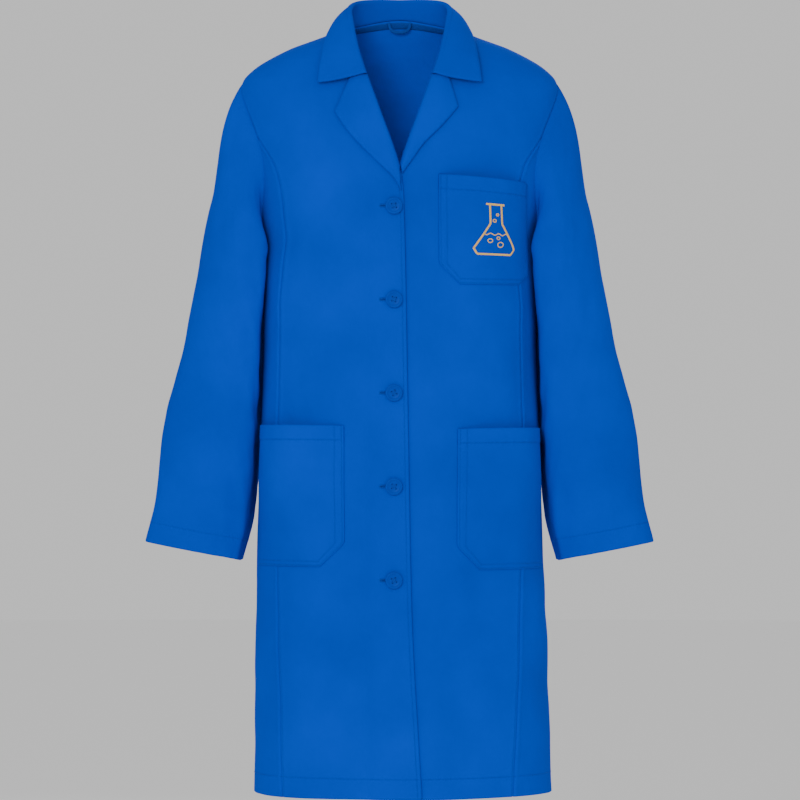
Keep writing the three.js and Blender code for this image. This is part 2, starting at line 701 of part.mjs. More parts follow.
// ---- emblem: a plain laboratory flask, outlined in gold thread --------------------------------------
function emblem() {
  const half = emblemHeight / 2;
  const neck = emblemHeight * 0.1;
  const base = emblemHeight * 0.36;
  const outline = (grow) => [
    [-neck - grow, half + grow], [neck + grow, half + grow], [neck + grow, half * 0.25],
    [base + grow, -half * 0.78], [base + grow * 0.4, -half - grow], [-base - grow * 0.4, -half - grow],
    [-base - grow, -half * 0.78], [-neck - grow, half * 0.25],
  ].map(([x, y]) => new THREE.Vector2(x, y));
  const inner = outline(0);
  const outer = outline(emblemLine);
  const at = (u, v) => {
    const along = (u - Math.floor(u)) * inner.length;
    const corner = Math.min(Math.floor(along), inner.length - 1);
    const next = (corner + 1) % inner.length;
    const from = inner[corner].clone().lerp(outer[corner], v);
    const to = inner[next].clone().lerp(outer[next], v);
    const place = from.lerp(to, along - corner);
    const pocketU = 0.5 + place.x / chestPocketWidth;
    const pocketV = 0.52 + place.y / chestPocketHeight;
    return chestPocket.at(pocketU, pocketV, emblemGap + emblemThread);
  };
  const perSide = 5;
  const us = span(inner.length * perSide);
  return sheet({ at, us, vs: span(1), thickness: emblemThread, within: bodyCentre, closed: true });
}

// ---- buttons, their threads and the buttonholes ------------------------------------------------------
const buttonBackLift = lapLift + 1.7;
const buttonZ = (i) => -buttonTopDrop - i * buttonPitch;
const buttonSeat = (i) => bodySurface(angleAtX(buttonX, buttonZ(i)), buttonZ(i)).y;   // cloth's y there

// Local axes of a button: +Z points out of the coat.
function button() {
  const r = buttonDiameter / 2;
  const t = buttonThickness;
  const outline = [[0, 0], [r - 1.2, 0], [r, 1.2], [r - 0.8, t], [r - 2.4, t], [r - 3.6, t - 0.9], [0, t - 0.9]]
    .map(([x, y]) => new THREE.Vector2(x, y));
  const disc = new THREE.LatheGeometry(outline, 16);
  disc.rotateX(Math.PI / 2);
  let solid = toManifold(disc);
  for (const [x, y] of threadHoles()) {
    const hole = new THREE.CylinderGeometry(threadHoleRadius, threadHoleRadius, 3 * t, 6);
    hole.rotateX(Math.PI / 2);
    hole.translate(x, y, 0);
    solid = solid.subtract(toManifold(hole));
  }
  return fromManifold(solid);
}

function threadHoles() {
  const o = threadHoleOffset;
  return [[o, o], [-o, o], [-o, -o], [o, -o]];
}

// Thread: a wound shank behind the button, four strands through its holes and a cross on top.
function buttonThread() {
  const strand = threadHoleRadius - 0.4;
  const top = buttonThickness - 0.9 + 0.35;
  const back = -buttonBackLift + layerGap;
  const rod = (radius, from, to, x, y) => {
    const piece = new THREE.CylinderGeometry(radius, radius, to - from, 5);
    piece.rotateX(Math.PI / 2);
    piece.translate(x, y, (from + to) / 2);
    return toManifold(piece);
  };
  const spread = threadHoleOffset * Math.SQRT2 + strand;
  let solid = rod(shankRadius, back, -0.5, 0, 0);
  solid = solid.add(rod(spread, -0.65, -0.3, 0, 0));
  for (const [x, y] of threadHoles()) solid = solid.add(rod(strand, -0.4, top + 0.5, x, y));
  for (const turn of [Math.PI / 4, -Math.PI / 4]) {
    const bar = new THREE.BoxGeometry(2 * threadHoleOffset * Math.SQRT2 + strand, 2 * strand, 0.8);
    bar.rotateZ(turn);
    bar.translate(0, 0, top + 0.45);
    solid = solid.add(toManifold(bar));
  }
  return fromManifold(solid);
}

function placeOnFront(geometry, i) {
  geometry.rotateX(Math.PI / 2);
  geometry.translate(buttonX, buttonSeat(i) - buttonBackLift, buttonZ(i));
  return geometry;
}

const holeFromX = buttonX + shankRadius + 2;
const holeCentreX = holeFromX - buttonholeLength / 2;

function cutButtonholes(geometry) {
  let solid = toManifold(geometry);
  for (let i = 0; i < buttonCount; i += 1) {
    const slot = new THREE.BoxGeometry(buttonholeLength, 40, buttonholeWidth);
    slot.translate(holeCentreX, buttonSeat(i), buttonZ(i));
    solid = solid.subtract(toManifold(slot));
  }
  return fromManifold(solid);
}

// Stitched rim of a buttonhole, lying on the right front under the button.
function buttonholeRim(i) {
  const rim = 1.6;
  const outer = new THREE.BoxGeometry(buttonholeLength + 2 * rim, 0.35, buttonholeWidth + 2 * rim, 3, 1, 1);
  const inner = new THREE.BoxGeometry(buttonholeLength, 2, buttonholeWidth);
  const solid = toManifold(outer).subtract(toManifold(inner));
  const geometry = fromManifold(solid);
  const position = geometry.attributes.position;
  for (let k = 0; k < position.count; k += 1) {
    const x = holeCentreX + position.getX(k);
    const z = buttonZ(i) + position.getZ(k);
    const lift = frontLift(-1, -x) + 0.5 - position.getY(k);
    const p = mirrored(-1, bodySurface(angleAtX(-x, z), z, lift));
    position.setXYZ(k, p.x, p.y, p.z);
  }
  return geometry;
}

// ---- neck tape and hanging loop -----------------------------------------------------------------------
function neckTape() {
  const at = (u, v) => {
    const angle = mix(112, 248, u);
    const z = neckSeamZ(angle) - 2 - 8 * (1 - v);
    return bodySurface(angle, z, -clothThickness - layerGap);
  };
  return sheet({ at, us: span(12), vs: span(1), thickness: 0.8, within: (p) => new THREE.Vector3(0, 0, p.z) });
}

const loopY = neckBackDepth - 4.2;

// A narrow ribbon bent down in a shallow arch, its two ends under the tape's edge.
function hangingLoop() {
  const arch = new THREE.CatmullRomCurve3([
    new THREE.Vector3(-loopHalfWidth, 0, -3),
    new THREE.Vector3(-loopHalfWidth * 0.86, 0, -loopDrop * 0.72),
    new THREE.Vector3(-loopHalfWidth * 0.4, 0, -loopDrop),
    new THREE.Vector3(loopHalfWidth * 0.4, 0, -loopDrop),
    new THREE.Vector3(loopHalfWidth * 0.86, 0, -loopDrop * 0.72),
    new THREE.Vector3(loopHalfWidth, 0, -3),
  ]);
  const at = (u, v) => {
    const point = arch.getPoint(u);
    const tangent = arch.getTangent(u);
    const out = new THREE.Vector3(tangent.z, 0, -tangent.x);
    return point.addScaledVector(out, (v - 0.5) * loopRibbon).setY(loopY);
  };
  return sheet({ at, us: span(14), vs: span(1), thickness: 0.8, within: (p) => p.clone().setY(200) });
}

// ---- assembly --------------------------------------------------------------------------------------------
addMesh('back_panel', backPanel(), cloth);
addMesh('collar_stand', collarStand(), clothInside);
addMesh('collar_fall', collarFall(), cloth);
addMesh('neck_tape', neckTape(), clothInside);
addMesh('hanging_loop', hangingLoop(), cloth);
for (const [label, side] of [['left', 1], ['right', -1]]) {
  const lower = frontLower(side);
  const facing = frontFacing(side);
  addMesh(`${label}_front_upper`, frontUpper(side), cloth);
  addMesh(`${label}_front_lower`, side < 0 ? cutButtonholes(lower) : lower, cloth);
  addMesh(`${label}_front_facing`, side < 0 ? cutButtonholes(facing) : facing, clothInside);
  addMesh(`${label}_side_panel_front`, sidePanelFront(side), cloth);
  addMesh(`${label}_side_panel_underarm`, sidePanelUnderarm(side), cloth);
  addMesh(`${label}_side_panel_back`, sidePanelBack(side), cloth);
  addMesh(`${label}_sleeve_cap`, sleeveCap(side), cloth);
  addMesh(`${label}_sleeve`, sleeveTube(side), cloth);
  addMesh(`${label}_lapel`, lapel(side), cloth);
  addMesh(`${label}_lower_pocket`, lowerPocket(side).geometry, cloth);
}
addMesh('chest_pocket', chestPocket.geometry, cloth);
addMesh('chest_emblem', emblem(), goldThread);
for (let i = 0; i < buttonCount; i += 1) {
  addMesh(`button_${i + 1}`, placeOnFront(button(), i), buttonPlastic);
  addMesh(`button_thread_${i + 1}`, placeOnFront(buttonThread(), i), sewingThread);
  addMesh(`buttonhole_stitching_${i + 1}`, buttonholeRim(i), sewingThread);
}

coat.position.set(0, -neckBackDepth, 0);
export default coat;
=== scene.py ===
"""A laboratory coat in blue twill, filled out as if worn: panels, sleeves, collar and lapels,
patch pockets, buttons, buttonholes and every row of stitching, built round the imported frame."""

import math

import bmesh
import bpy
import numpy as np
from mathutils import Matrix, Vector


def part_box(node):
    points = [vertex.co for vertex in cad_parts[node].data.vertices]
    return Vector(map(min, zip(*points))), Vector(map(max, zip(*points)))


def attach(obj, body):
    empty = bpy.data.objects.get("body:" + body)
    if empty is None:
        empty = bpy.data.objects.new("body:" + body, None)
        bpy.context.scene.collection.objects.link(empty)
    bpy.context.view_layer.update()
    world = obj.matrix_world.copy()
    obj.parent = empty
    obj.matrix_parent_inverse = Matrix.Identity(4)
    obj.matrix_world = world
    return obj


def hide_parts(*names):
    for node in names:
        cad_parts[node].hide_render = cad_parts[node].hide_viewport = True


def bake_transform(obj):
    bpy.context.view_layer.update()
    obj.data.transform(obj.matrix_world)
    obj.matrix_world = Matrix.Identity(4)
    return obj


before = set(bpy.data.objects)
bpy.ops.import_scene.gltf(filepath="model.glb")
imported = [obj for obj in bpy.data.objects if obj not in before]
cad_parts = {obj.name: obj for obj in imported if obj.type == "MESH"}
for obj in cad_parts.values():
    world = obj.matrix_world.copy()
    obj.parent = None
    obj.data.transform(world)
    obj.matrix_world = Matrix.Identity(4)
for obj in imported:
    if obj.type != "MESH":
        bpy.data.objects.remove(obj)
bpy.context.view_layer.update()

MM = 0.001

# ---- the coat's cut, in millimetres from the centre back of the neck seam ------------------
low_hem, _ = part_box("back_panel")
HEM = low_hem[2] / MM
HEM_LEVEL = -1004.0  # of the plain form, before the cloth has its thickness
NECK_BACK = 50.0  # from the middle of the body to the neck seam behind
NECK_POINT = -14.0
SHOULDER_TIP = -84.0
ARMPIT = -299.0
WAIST = -404.0
HIP = -601.0
PANEL_TOP = -157.1  # where the side panel runs out into the armhole
V_POINT = -200.0
GORGE = -79.0  # where collar and lapel meet
CLOTH = 0.9  # one layer of twill
HEM_DEPTH = 25.0
LAP_RISE = 3.4  # the right front lies this far over the left
LAP_END = 27.0
LAP_RAMP = 18.0
BEHIND_FRONT = 1.7  # how far a second layer inside lies behind the first
ON_TOP = 0.25  # stitches lie this far off the cloth
IN_SEAM = 0.55  # and this far off its plain form beside a seam
FRONT_SCOOP, BACK_SCOOP = 25.0, 20.0

BUTTON_COUNT = 5
button_boxes = [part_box(f"button_{i + 1}") for i in range(BUTTON_COUNT)]
button_seats = [(Vector(low) + Vector(high)) / 2 for low, high in button_boxes]
BUTTON_X = button_seats[0].x / MM
BUTTON_ZS = [seat.z / MM for seat in button_seats]


def ease(t):
    """A smooth step from 0 to 1."""
    t = np.clip(t, 0.0, 1.0)
    return t * t * (3 - 2 * t)


def mix(a, b, t):
    return a + (b - a) * t


def bell(distance, width):
    """1 where distance is 0, and nearly 0 beyond twice the width."""
    return np.exp(-((distance / width) ** 2))


def profile(pairs):
    """A smooth curve through (place, value) pairs that never swings past them."""
    places, values = np.array(sorted(pairs), float).T
    widths = np.diff(places)
    rises = np.diff(values) / widths
    slopes = np.concatenate([rises[:1], np.zeros(len(places) - 2), rises[-1:]])
    for i in range(1, len(places) - 1):
        before, after = rises[i - 1], rises[i]
        if before * after > 0:
            slopes[i] = 2 * before * after / (before + after)
    fine = np.linspace(places[0], places[-1], 2400)
    k = np.clip(np.searchsorted(places, fine) - 1, 0, len(widths) - 1)
    t = (fine - places[k]) / widths[k]
    curve = mix(values[k], values[k + 1], t * t * (3 - 2 * t))
    curve += t * (1 - t) ** 2 * widths[k] * slopes[k] + t * t * (t - 1) * widths[k] * slopes[k + 1]
    return lambda place: np.interp(place, fine, curve)


half_width = profile([
    (HEM_LEVEL, 192.5), (HIP, 183), (WAIST, 177), (ARMPIT, 178), (ARMPIT + 45, 186), (-191.5, 193.5),
    (SHOULDER_TIP - 34, 204), (SHOULDER_TIP - 12, 206), (SHOULDER_TIP, 203), (SHOULDER_TIP + 16, 188.6),
    (SHOULDER_TIP + 42, 142.7), (NECK_POINT - 12, 99.5), (NECK_POINT, 72), (0, 56),
])
front_depth = profile([
    (HEM_LEVEL, 142), (HIP, 126), (WAIST, 118), (ARMPIT, 121), (ARMPIT + 90, 122), (SHOULDER_TIP - 48, 110),
    (SHOULDER_TIP, 94), (SHOULDER_TIP + 42, 73), (NECK_POINT - 12, 62), (NECK_POINT, 52), (0, 44),
])
back_depth = profile([
    (HEM_LEVEL, 135), (HIP, 116), (WAIST, 104), (ARMPIT, 106), (ARMPIT + 90, 109), (SHOULDER_TIP - 48, 105),
    (SHOULDER_TIP, 91), (SHOULDER_TIP + 42, 71), (NECK_POINT - 12, 62), (NECK_POINT, 56), (0, 50),
])
panel_inset = profile([
    (HEM_LEVEL, 44.5), (HIP - 110, 30), (HIP + 70, 22.5), (WAIST + 25, 23), (ARMPIT + 62, 36),
    (ARMPIT + 101, 32), (PANEL_TOP, 17),
])
roll_line_x = profile([(V_POINT, 1.5), (V_POINT + 22, 8.5), (V_POINT + 76, 28), (GORGE, 44)])
neck_seam_x = profile([(GORGE, 50), ((NECK_POINT + GORGE) / 2, 61), (NECK_POINT, 70.5)])
over_edge_x = profile([(HEM_LEVEL, -27), (HIP - 150, -14.5), (WAIST - 90, -10), (-237, -5), (-199, -1)])
under_edge_x = profile([(HEM_LEVEL, -24), (-254, -24), (-199, -4)])


def soft_noise(p, q, seed):
    """Even noise from -1 to 1 over two lengths, smooth between whole numbers."""
    i, j = np.floor(p), np.floor(q)

    def corner(a, b):
        scatter = np.sin(a * 127.1 + b * 311.7 + seed * 74.7) * 43758.5453
        return 2 * (scatter - np.floor(scatter)) - 1

    s, t = p - i, q - j
    s, t = s**3 * (s * (s * 6 - 15) + 10), t**3 * (t * (t * 6 - 15) + 10)
    low = mix(corner(i, j), corner(i + 1, j), s)
    high = mix(corner(i, j + 1), corner(i + 1, j + 1), s)
    return mix(low, high, t)


def drape(p):
    """How far the hanging cloth stands off the plain form at points p, in millimetres: long
    folds that grow towards the hem, shorter creases, and drag lines under the arms. It hangs
    stiller where the sleeves lie against it, and lies flat under the buttons."""
    x, y, z = p[..., 0], p[..., 1], p[..., 2]
    free = ease((-z - 60) / 170)
    skirt = ease((-z - 420) / 560)
    turn = np.arctan2(x, -y)
    folds = 4.2 * skirt * np.sin(5 * turn + 1.1 * np.sin(z / 170))
    beside_sleeve = ease((np.abs(x) - 140) / 35) * ease((z + 760) / 60)
    long_creases = soft_noise(x / 58, z / 230, 1) + soft_noise(y / 58, z / 230, 2)
    short_creases = soft_noise((x + 0.35 * z) / 30, z / 75, 3) + soft_noise((y - 0.4 * z) / 30, z / 75, 4)
    fine = soft_noise(x / 11, z / 24, 5) + soft_noise(y / 11, z / 24, 6)
    side = np.clip(np.abs(x) / 180, 0, 1) ** 3
    drag = bell(z + 345, 55) * side * np.sin((z + 0.8 * np.abs(x)) / 8.5)
    sunk = np.ones_like(z)
    for button_z in BUTTON_ZS:
        sunk = sunk - np.exp(-(((x - BUTTON_X) / 22) ** 2) - ((z - button_z) / 22) ** 2)
    rise = folds + 2.0 * long_creases + 1.0 * short_creases + 0.15 * fine + 0.7 * drag
    return free * rise * np.clip(sunk, 0, 1) * (1 - 0.75 * beside_sleeve)


def form(angle, z):
    """The plain form under the cloth. Angles run from the centre front (0) over the wearer's
    left side (90) to the centre back (180), and the right side is negative."""
    turn = np.radians(angle)
    depth = np.where(np.cos(turn) > 0, front_depth(z), back_depth(z))
    return np.stack(np.broadcast_arrays(half_width(z) * np.sin(turn), -depth * np.cos(turn), z), -1)


def cloth_face(angle, z, lift=0.0):
    """Points of cloth that lies `lift` above the coat's first layer, in millimetres in the row frame."""
    step = 0.05
    around = form(angle + step, z) - form(angle - step, z)
    up = form(angle, z + step) - form(angle, z - step)
    normal = np.cross(around, up)
    normal /= np.linalg.norm(normal, axis=-1, keepdims=True)
    base = form(angle, z)
    points = base + normal * np.asarray(lift + drape(base))[..., None]
    points[..., 1] -= NECK_BACK
    return points


def angle_at(x, z):
    """The angle of the front's surface at a distance x from the centre line."""
    return np.degrees(np.arcsin(np.clip(x / half_width(z), -1, 1)))


def arc(share, inner, outer, z):
    """The length in millimetres of a share of the way round from one angle to another."""
    return share * (outer - inner) * np.pi / 180 * half_width(z)


def armhole_angle(z, scoop):
    height = np.clip((z - ARMPIT) / (SHOULDER_TIP - ARMPIT), 0, 1)
    return 90 - scoop * np.clip(np.sin(np.pi * height**0.95), 0, 1) ** 0.8


def panel_seam(z, scoop):
    """The seam between front (or back) and side panel, which ends in the armhole."""
    seam = angle_at(half_width(z) - panel_inset(z), z)
    top = angle_at(half_width(PANEL_TOP) - panel_inset(PANEL_TOP), PANEL_TOP)
    return seam + (armhole_angle(PANEL_TOP, scoop) - top) * ease((z - PANEL_TOP + 45) / 45)


def side_edge(z, scoop):
    """The outer edge of front or back: panel seam, then armhole, then shoulder seam."""
    above = np.where(z < SHOULDER_TIP, armhole_angle(z, scoop), 90.0)
    return np.where(z < PANEL_TOP, panel_seam(z, scoop), above)


def armhole_edge(z, scoop):
    return np.where(z < ARMPIT, 90.0, armhole_angle(z, scoop))


def front_rise(side, x):
    """The right front climbs over the left one where they lap. x is towards the wearer's side."""
    return 0.0 * x if side > 0 else LAP_RISE * (1 - ease((x - LAP_END) / LAP_RAMP))


def front_edge_x(side, z):
    """The front's free edge: straight down below the V point, along the roll line above it."""
    below = under_edge_x(z) if side > 0 else over_edge_x(z)
    above = np.where(z < GORGE, roll_line_x(z), neck_seam_x(z))
    return np.where(z < V_POINT - 5, below, mix(below, above, ease((z - V_POINT + 5) / 5)))


# ---- cloth as a mesh -----------------------------------------------------------------------
def unit(v):
    return v / np.maximum(np.linalg.norm(v, axis=-1, keepdims=True), 1e-9)


def put_in_scene(name, data):
    """A new object in the scene, around a mesh, a lamp or a camera."""
    thing = bpy.data.objects.new(name, data)
    bpy.context.scene.collection.objects.link(thing)
    return thing


def to_mesh(bm, name):
    mesh = bpy.data.meshes.new(name)
    bm.to_mesh(mesh)
    bm.free()
    return mesh


def smooth(mesh):
    for polygon in mesh.polygons:
        polygon.use_smooth = True


def carve(piece, tool_mesh):
    """Cuts the tool's shape out of the piece."""
    tool = put_in_scene("cutting_tool", tool_mesh)
    modifier = piece.modifiers.new("cut", "BOOLEAN")
    modifier.operation, modifier.object, modifier.solver = "DIFFERENCE", tool, "EXACT"
    depsgraph = bpy.context.evaluated_depsgraph_get()
    whole = piece.data
    carved = bpy.data.meshes.new_from_object(piece.evaluated_get(depsgraph))
    piece.modifiers.clear()
    piece.data = carved
    bpy.data.meshes.remove(whole)
    bpy.data.objects.remove(tool)
    bpy.data.meshes.remove(tool_mesh)


def sew(name, face, materials, thickness=CLOTH, inward=False, closed=False, pull=None):
    """A closed sheet with rounded edges behind the grid of points `face` (rows, columns, 3), in
    millimetres. inward turns the face over. closed joins the last column to the first. pull is
    how strongly a row of stitches gathers the cloth at each point."""
    rows, columns = face.shape[:2]
    wrap = (lambda g: np.concatenate([g[:, -1:], g, g[:, :1]], 1)) if closed else (lambda g: g)
    across = np.gradient(wrap(face), axis=1)[:, 1:-1] if closed else np.gradient(face, axis=1)
    normal = unit(np.cross(across, np.gradient(face, axis=0)))
    if inward:
        normal = -normal
    depth = np.broadcast_to(np.asarray(thickness, float), (rows, columns))[..., None]
    back = face - normal * depth
    middle = (face + back) / 2
    rim = {}

    def edge_points(inner, outer):
        return middle[outer] + unit(middle[outer] - middle[inner]) * depth[outer] * 0.45

    row_ids, column_ids = np.arange(rows), np.arange(columns)
    for c in column_ids:
        rim[(0, c)] = edge_points((1, c), (0, c))
        rim[(rows - 1, c)] = edge_points((rows - 2, c), (rows - 1, c))
    if not closed:
        for r in row_ids[1:-1]:
            rim[(r, 0)] = edge_points((r, 1), (r, 0))
            rim[(r, columns - 1)] = edge_points((r, columns - 2), (r, columns - 1))
    rim_index = {key: 2 * rows * columns + i for i, key in enumerate(rim)}
    points = np.concatenate([face.reshape(-1, 3), back.reshape(-1, 3), np.array(list(rim.values()))])
    index = np.arange(rows * columns).reshape(rows, columns)
    right = np.roll(index, -1, axis=1) if closed else index[:, 1:]
    left = index if closed else index[:, :-1]
    outer = np.stack([left[:-1], right[:-1], right[1:], left[1:]], -1).reshape(-1, 4)
    inner = outer[:, ::-1] + rows * columns
    border = [((0, c), (0, (c + 1) % columns)) for c in range(columns if closed else columns - 1)]
    border += [((rows - 1, d), (rows - 1, c)) for (_, c), (_, d) in border]
    if not closed:
        border += [((r + 1, 0), (r, 0)) for r in range(rows - 1)]
        border += [((r, columns - 1), (r + 1, columns - 1)) for r in range(rows - 1)]
    strips = []
    for a, b in border:
        ia, ib = int(index[a]), int(index[b])
        strips.append((ib, ia, rim_index[a], rim_index[b]))
        strips.append((rim_index[b], rim_index[a], ia + rows * columns, ib + rows * columns))
    faces = np.concatenate([outer, inner, np.array(strips)])
    if inward:
        faces = faces[:, ::-1]
    mesh = bpy.data.meshes.new(name)
    mesh.from_pydata((points * MM).tolist(), [], faces.tolist())
    lengths = np.linalg.norm(np.diff(face, axis=1), axis=-1)
    u = np.concatenate([np.zeros((rows, 1)), np.cumsum(lengths, 1)], 1) * MM
    heights = np.linalg.norm(np.diff(face, axis=0), axis=-1)
    v = np.concatenate([np.zeros((1, columns)), np.cumsum(heights, 0)], 0) * MM
    flat = np.stack([u, v], -1).reshape(-1, 2)
    rim_keys = np.array(list(rim))
    flat = np.concatenate([flat, flat, flat[rim_keys[:, 0] * columns + rim_keys[:, 1]]])
    corner_vertices = np.zeros(len(mesh.loops), np.int32)
    mesh.loops.foreach_get("vertex_index", corner_vertices)
    layer = mesh.uv_layers.new(name="weave")
    layer.data.foreach_set("uv", flat[corner_vertices].astype(np.float32).ravel())
    gather = np.zeros((rows, columns)) if pull is None else np.broadcast_to(pull, (rows, columns))
    gather = gather.ravel()
    gather = np.concatenate([gather, gather, np.zeros(len(rim))]).astype(np.float32)
    mesh.attributes.new("gather", "FLOAT", "POINT").data.foreach_set("value", gather)
    for material in materials:
        mesh.materials.append(material)
    if len(materials) > 1:
        kinds = np.zeros(len(faces), np.int32)
        kinds[len(outer):len(outer) + len(inner)] = 1
        mesh.polygons.foreach_set("material_index", kinds)
    mesh.polygons.foreach_set("use_smooth", np.ones(len(faces), bool))
    mesh.update()
    return put_in_scene(name, mesh)


def flat_size(face, closed=False):
    """(width, length) and area of the cut, in metres, measured along the cloth."""
    ring = np.concatenate([face, face[:, :1]], 1) if closed else face
    width = np.linalg.norm(np.diff(ring, axis=1), axis=-1).sum(1).max() * MM
    length = np.linalg.norm(np.diff(ring, axis=0), axis=-1).sum(0).max() * MM
    a, b, c, d = ring[:-1, :-1], ring[:-1, 1:], ring[1:, 1:], ring[1:, :-1]
    area = np.linalg.norm(np.cross(c - a, d - b), axis=-1).sum() / 2 * MM * MM
    return (float(width), float(length)), float(min(area, width * length))


def spaced(start, end, step):
    """Even stations from start to end, no further apart than step."""
    return np.linspace(start, end, max(2, int(math.ceil(abs(end - start) / step)) + 1))


def along_seams(count, fine=(0.0, 0.008, 0.018, 0.032, 0.05)):
    """Stations from 0 to 1 that crowd towards both ends, where the seams draw the cloth in."""
    middle = np.linspace(0.075, 0.925, count)
    return np.concatenate([fine, middle, 1 - np.array(fine[::-1])])


def seam_dip(distance):
    """Cloth turns down into a seam."""
    return -0.75 * bell(distance, 1.5) + 0.55 * bell(distance - 5.0, 2.6)


def hem_thickness(z):
    """Single cloth above the hem's stitching, three layers below it."""
    return mix(3.0 * CLOTH, CLOTH, ease((z - HEM - HEM_DEPTH) / 2.0))


# ---- materials -----------------------------------------------------------------------------
def linear(colour):
    """An sRGB hex colour as linear red, green, blue and alpha."""
    parts = [((colour >> shift) & 255) / 255 for shift in (16, 8, 0)]
    return [c / 12.92 if c <= 0.04045 else ((c + 0.055) / 1.055) ** 2.4 for c in parts] + [1.0]


def add(tree, kind, inputs=None, **settings):
    """Adds one node with its settings, and its inputs as values or links."""
    node = tree.nodes.new(kind)
    for key, value in settings.items():
        setattr(node, key, value)
    for key, value in (inputs or {}).items():
        if isinstance(value, bpy.types.NodeSocket):
            tree.links.new(value, node.inputs[key])
        else:
            node.inputs[key].default_value = value
    return node


def new_material(name):
    material = bpy.data.materials.new(name)
    material.use_nodes = True
    material.node_tree.nodes.clear()
    return material, material.node_tree


def noise(tree, place, scale, **more):
    return add(tree, "ShaderNodeTexNoise", {"Vector": place, "Scale": scale, **more}).outputs["Fac"]


def ribs(tree, place, scale, **more):
    inputs = {"Vector": place, "Scale": scale, **more}
    return add(tree, "ShaderNodeTexWave", inputs, bands_direction="DIAGONAL").outputs["Fac"]


def stretched(tree, place, scale):
    return add(tree, "ShaderNodeMapping", {"Vector": place, "Scale": scale}).outputs["Vector"]


def two_tones(tree, share, dark, light):
    return add(tree, "ShaderNodeMix", {"Factor": share, "A": dark, "B": light}, data_type="RGBA").outputs[2]


def calculate(tree, operation, *values):
    return add(tree, "ShaderNodeMath", dict(enumerate(values)), operation=operation).outputs[0]


def bump(tree, height, strength, depth, under=None):
    """Relief of a depth in metres, over the relief under it."""
    inputs = {"Height": height, "Strength": strength, "Distance": depth}
    if under is not None:
        inputs["Normal"] = under
    return add(tree, "ShaderNodeBump", inputs).outputs["Normal"]


def on_object(tree):
    return add(tree, "ShaderNodeTexCoord").outputs["Object"]


def along_cloth(tree):
    return add(tree, "ShaderNodeUVMap", uv_map="weave").outputs["UV"]


def finish_material(tree, colour, normal, roughness, **surface):
    inputs = {"Base Color": colour, "Normal": normal, "Roughness": roughness, **surface}
    shader = add(tree, "ShaderNodeBsdfPrincipled", inputs)
    add(tree, "ShaderNodeOutputMaterial", {"Surface": shader.outputs["BSDF"]})


def twill(name, light, dark, roughness):
    """Polyester-cotton twill, piece-dyed: matt, with a fine diagonal rib, slubs along the warp,
    faint mottling of the dye, and a gathered, rubbed look beside stitches."""
    material, tree = new_material(name)
    place, body = along_cloth(tree), on_object(tree)
    rib_period = 0.0015  # a real rib is 0.5 mm wide; 1.5 mm here, so that it shows
    rib_scale = math.tau / (10 * math.sqrt(2) * rib_period)
    rib = ribs(tree, place, rib_scale, Distortion=0.6, Detail=1.0)
    slubs = noise(tree, stretched(tree, place, (1.0, 0.12, 1.0)), 900.0, Detail=2.0)
    mottle = noise(tree, body, 9.0, Detail=3.0)
    crumple = noise(tree, body, 55.0, Detail=2.0)
    pucker = noise(tree, place, 160.0, Detail=1.0)
    gather = add(tree, "ShaderNodeAttribute", attribute_name="gather").outputs["Fac"]
    drawn = calculate(tree, "MULTIPLY", gather, pucker)
    shade = add(tree, "ShaderNodeMapRange", {
        "Value": mottle, "From Min": 0.3, "From Max": 0.7, "To Min": 0.0, "To Max": 1.0,
    }).outputs["Result"]
    dyed = two_tones(tree, shade, linear(dark), linear(light))
    slub_share = calculate(tree, "MULTIPLY", slubs, 0.10)
    ribbed = calculate(tree, "MULTIPLY_ADD", rib, 0.05, slub_share)
    worn = calculate(tree, "MULTIPLY_ADD", drawn, 0.18, ribbed)
    colour = two_tones(tree, worn, dyed, linear(light))
    relief = bump(tree, rib, 0.16, 0.0004)
    relief = bump(tree, slubs, 0.22, 0.0004, relief)
    relief = bump(tree, crumple, 0.4, 0.0022, relief)
    relief = bump(tree, drawn, 0.6, 0.0022, relief)
    finish_material(tree, colour, relief, roughness, **{
        "IOR": 1.5, "Specular IOR Level": 0.02, "Sheen Weight": 0.04, "Sheen Roughness": 0.5,
        "Sheen Tint": linear(0x0A58DC),
    })
    return material


def spun_thread(name, light, dark, roughness, gloss):
    """Spun or filament sewing thread, two plies: the twist shows as a fine slanting line."""
    material, tree = new_material(name)
    ply = ribs(tree, on_object(tree), 420.0, Distortion=1.2)
    colour = two_tones(tree, ply, linear(dark), linear(light))
    relief = bump(tree, ply, 0.4, 0.0002)
    finish_material(tree, colour, relief, roughness, **{"Specular IOR Level": gloss})
    return material


def moulded_resin(name, light, dark):
    """Polyester resin button, cast and tumbled: soft clouding under the surface and fine
    scratches from the wash."""
    material, tree = new_material(name)
    body = on_object(tree)
    cloud = noise(tree, body, 160.0, Detail=3.0)
    colour = two_tones(tree, cloud, linear(dark), linear(light))
    scratch = noise(tree, stretched(tree, body, (1.0, 1.0, 0.1)), 2500.0)
    relief = bump(tree, scratch, 0.08, 0.0002)
    finish_material(tree, colour, relief, 0.4, **{"IOR": 1.54, "Specular IOR Level": 0.06})
    return material


def herringbone_tape(name, light, dark):
    """Woven cotton tape, with slanting ribs."""
    material, tree = new_material(name)
    rib = ribs(tree, along_cloth(tree), 260.0, Distortion=2.0)
    colour = two_tones(tree, rib, linear(dark), linear(light))
    relief = bump(tree, rib, 0.5, 0.0004)
    finish_material(tree, colour, relief, 0.8, **{"Specular IOR Level": 0.2})
    return material


def seamless_paper(name):
    """Matt studio paper, with the faintest tooth."""
    material, tree = new_material(name)
    relief = bump(tree, noise(tree, on_object(tree), 300.0), 0.05, 0.0005)
    finish_material(tree, linear(0xFAFAFA), relief, 0.9)
    return material


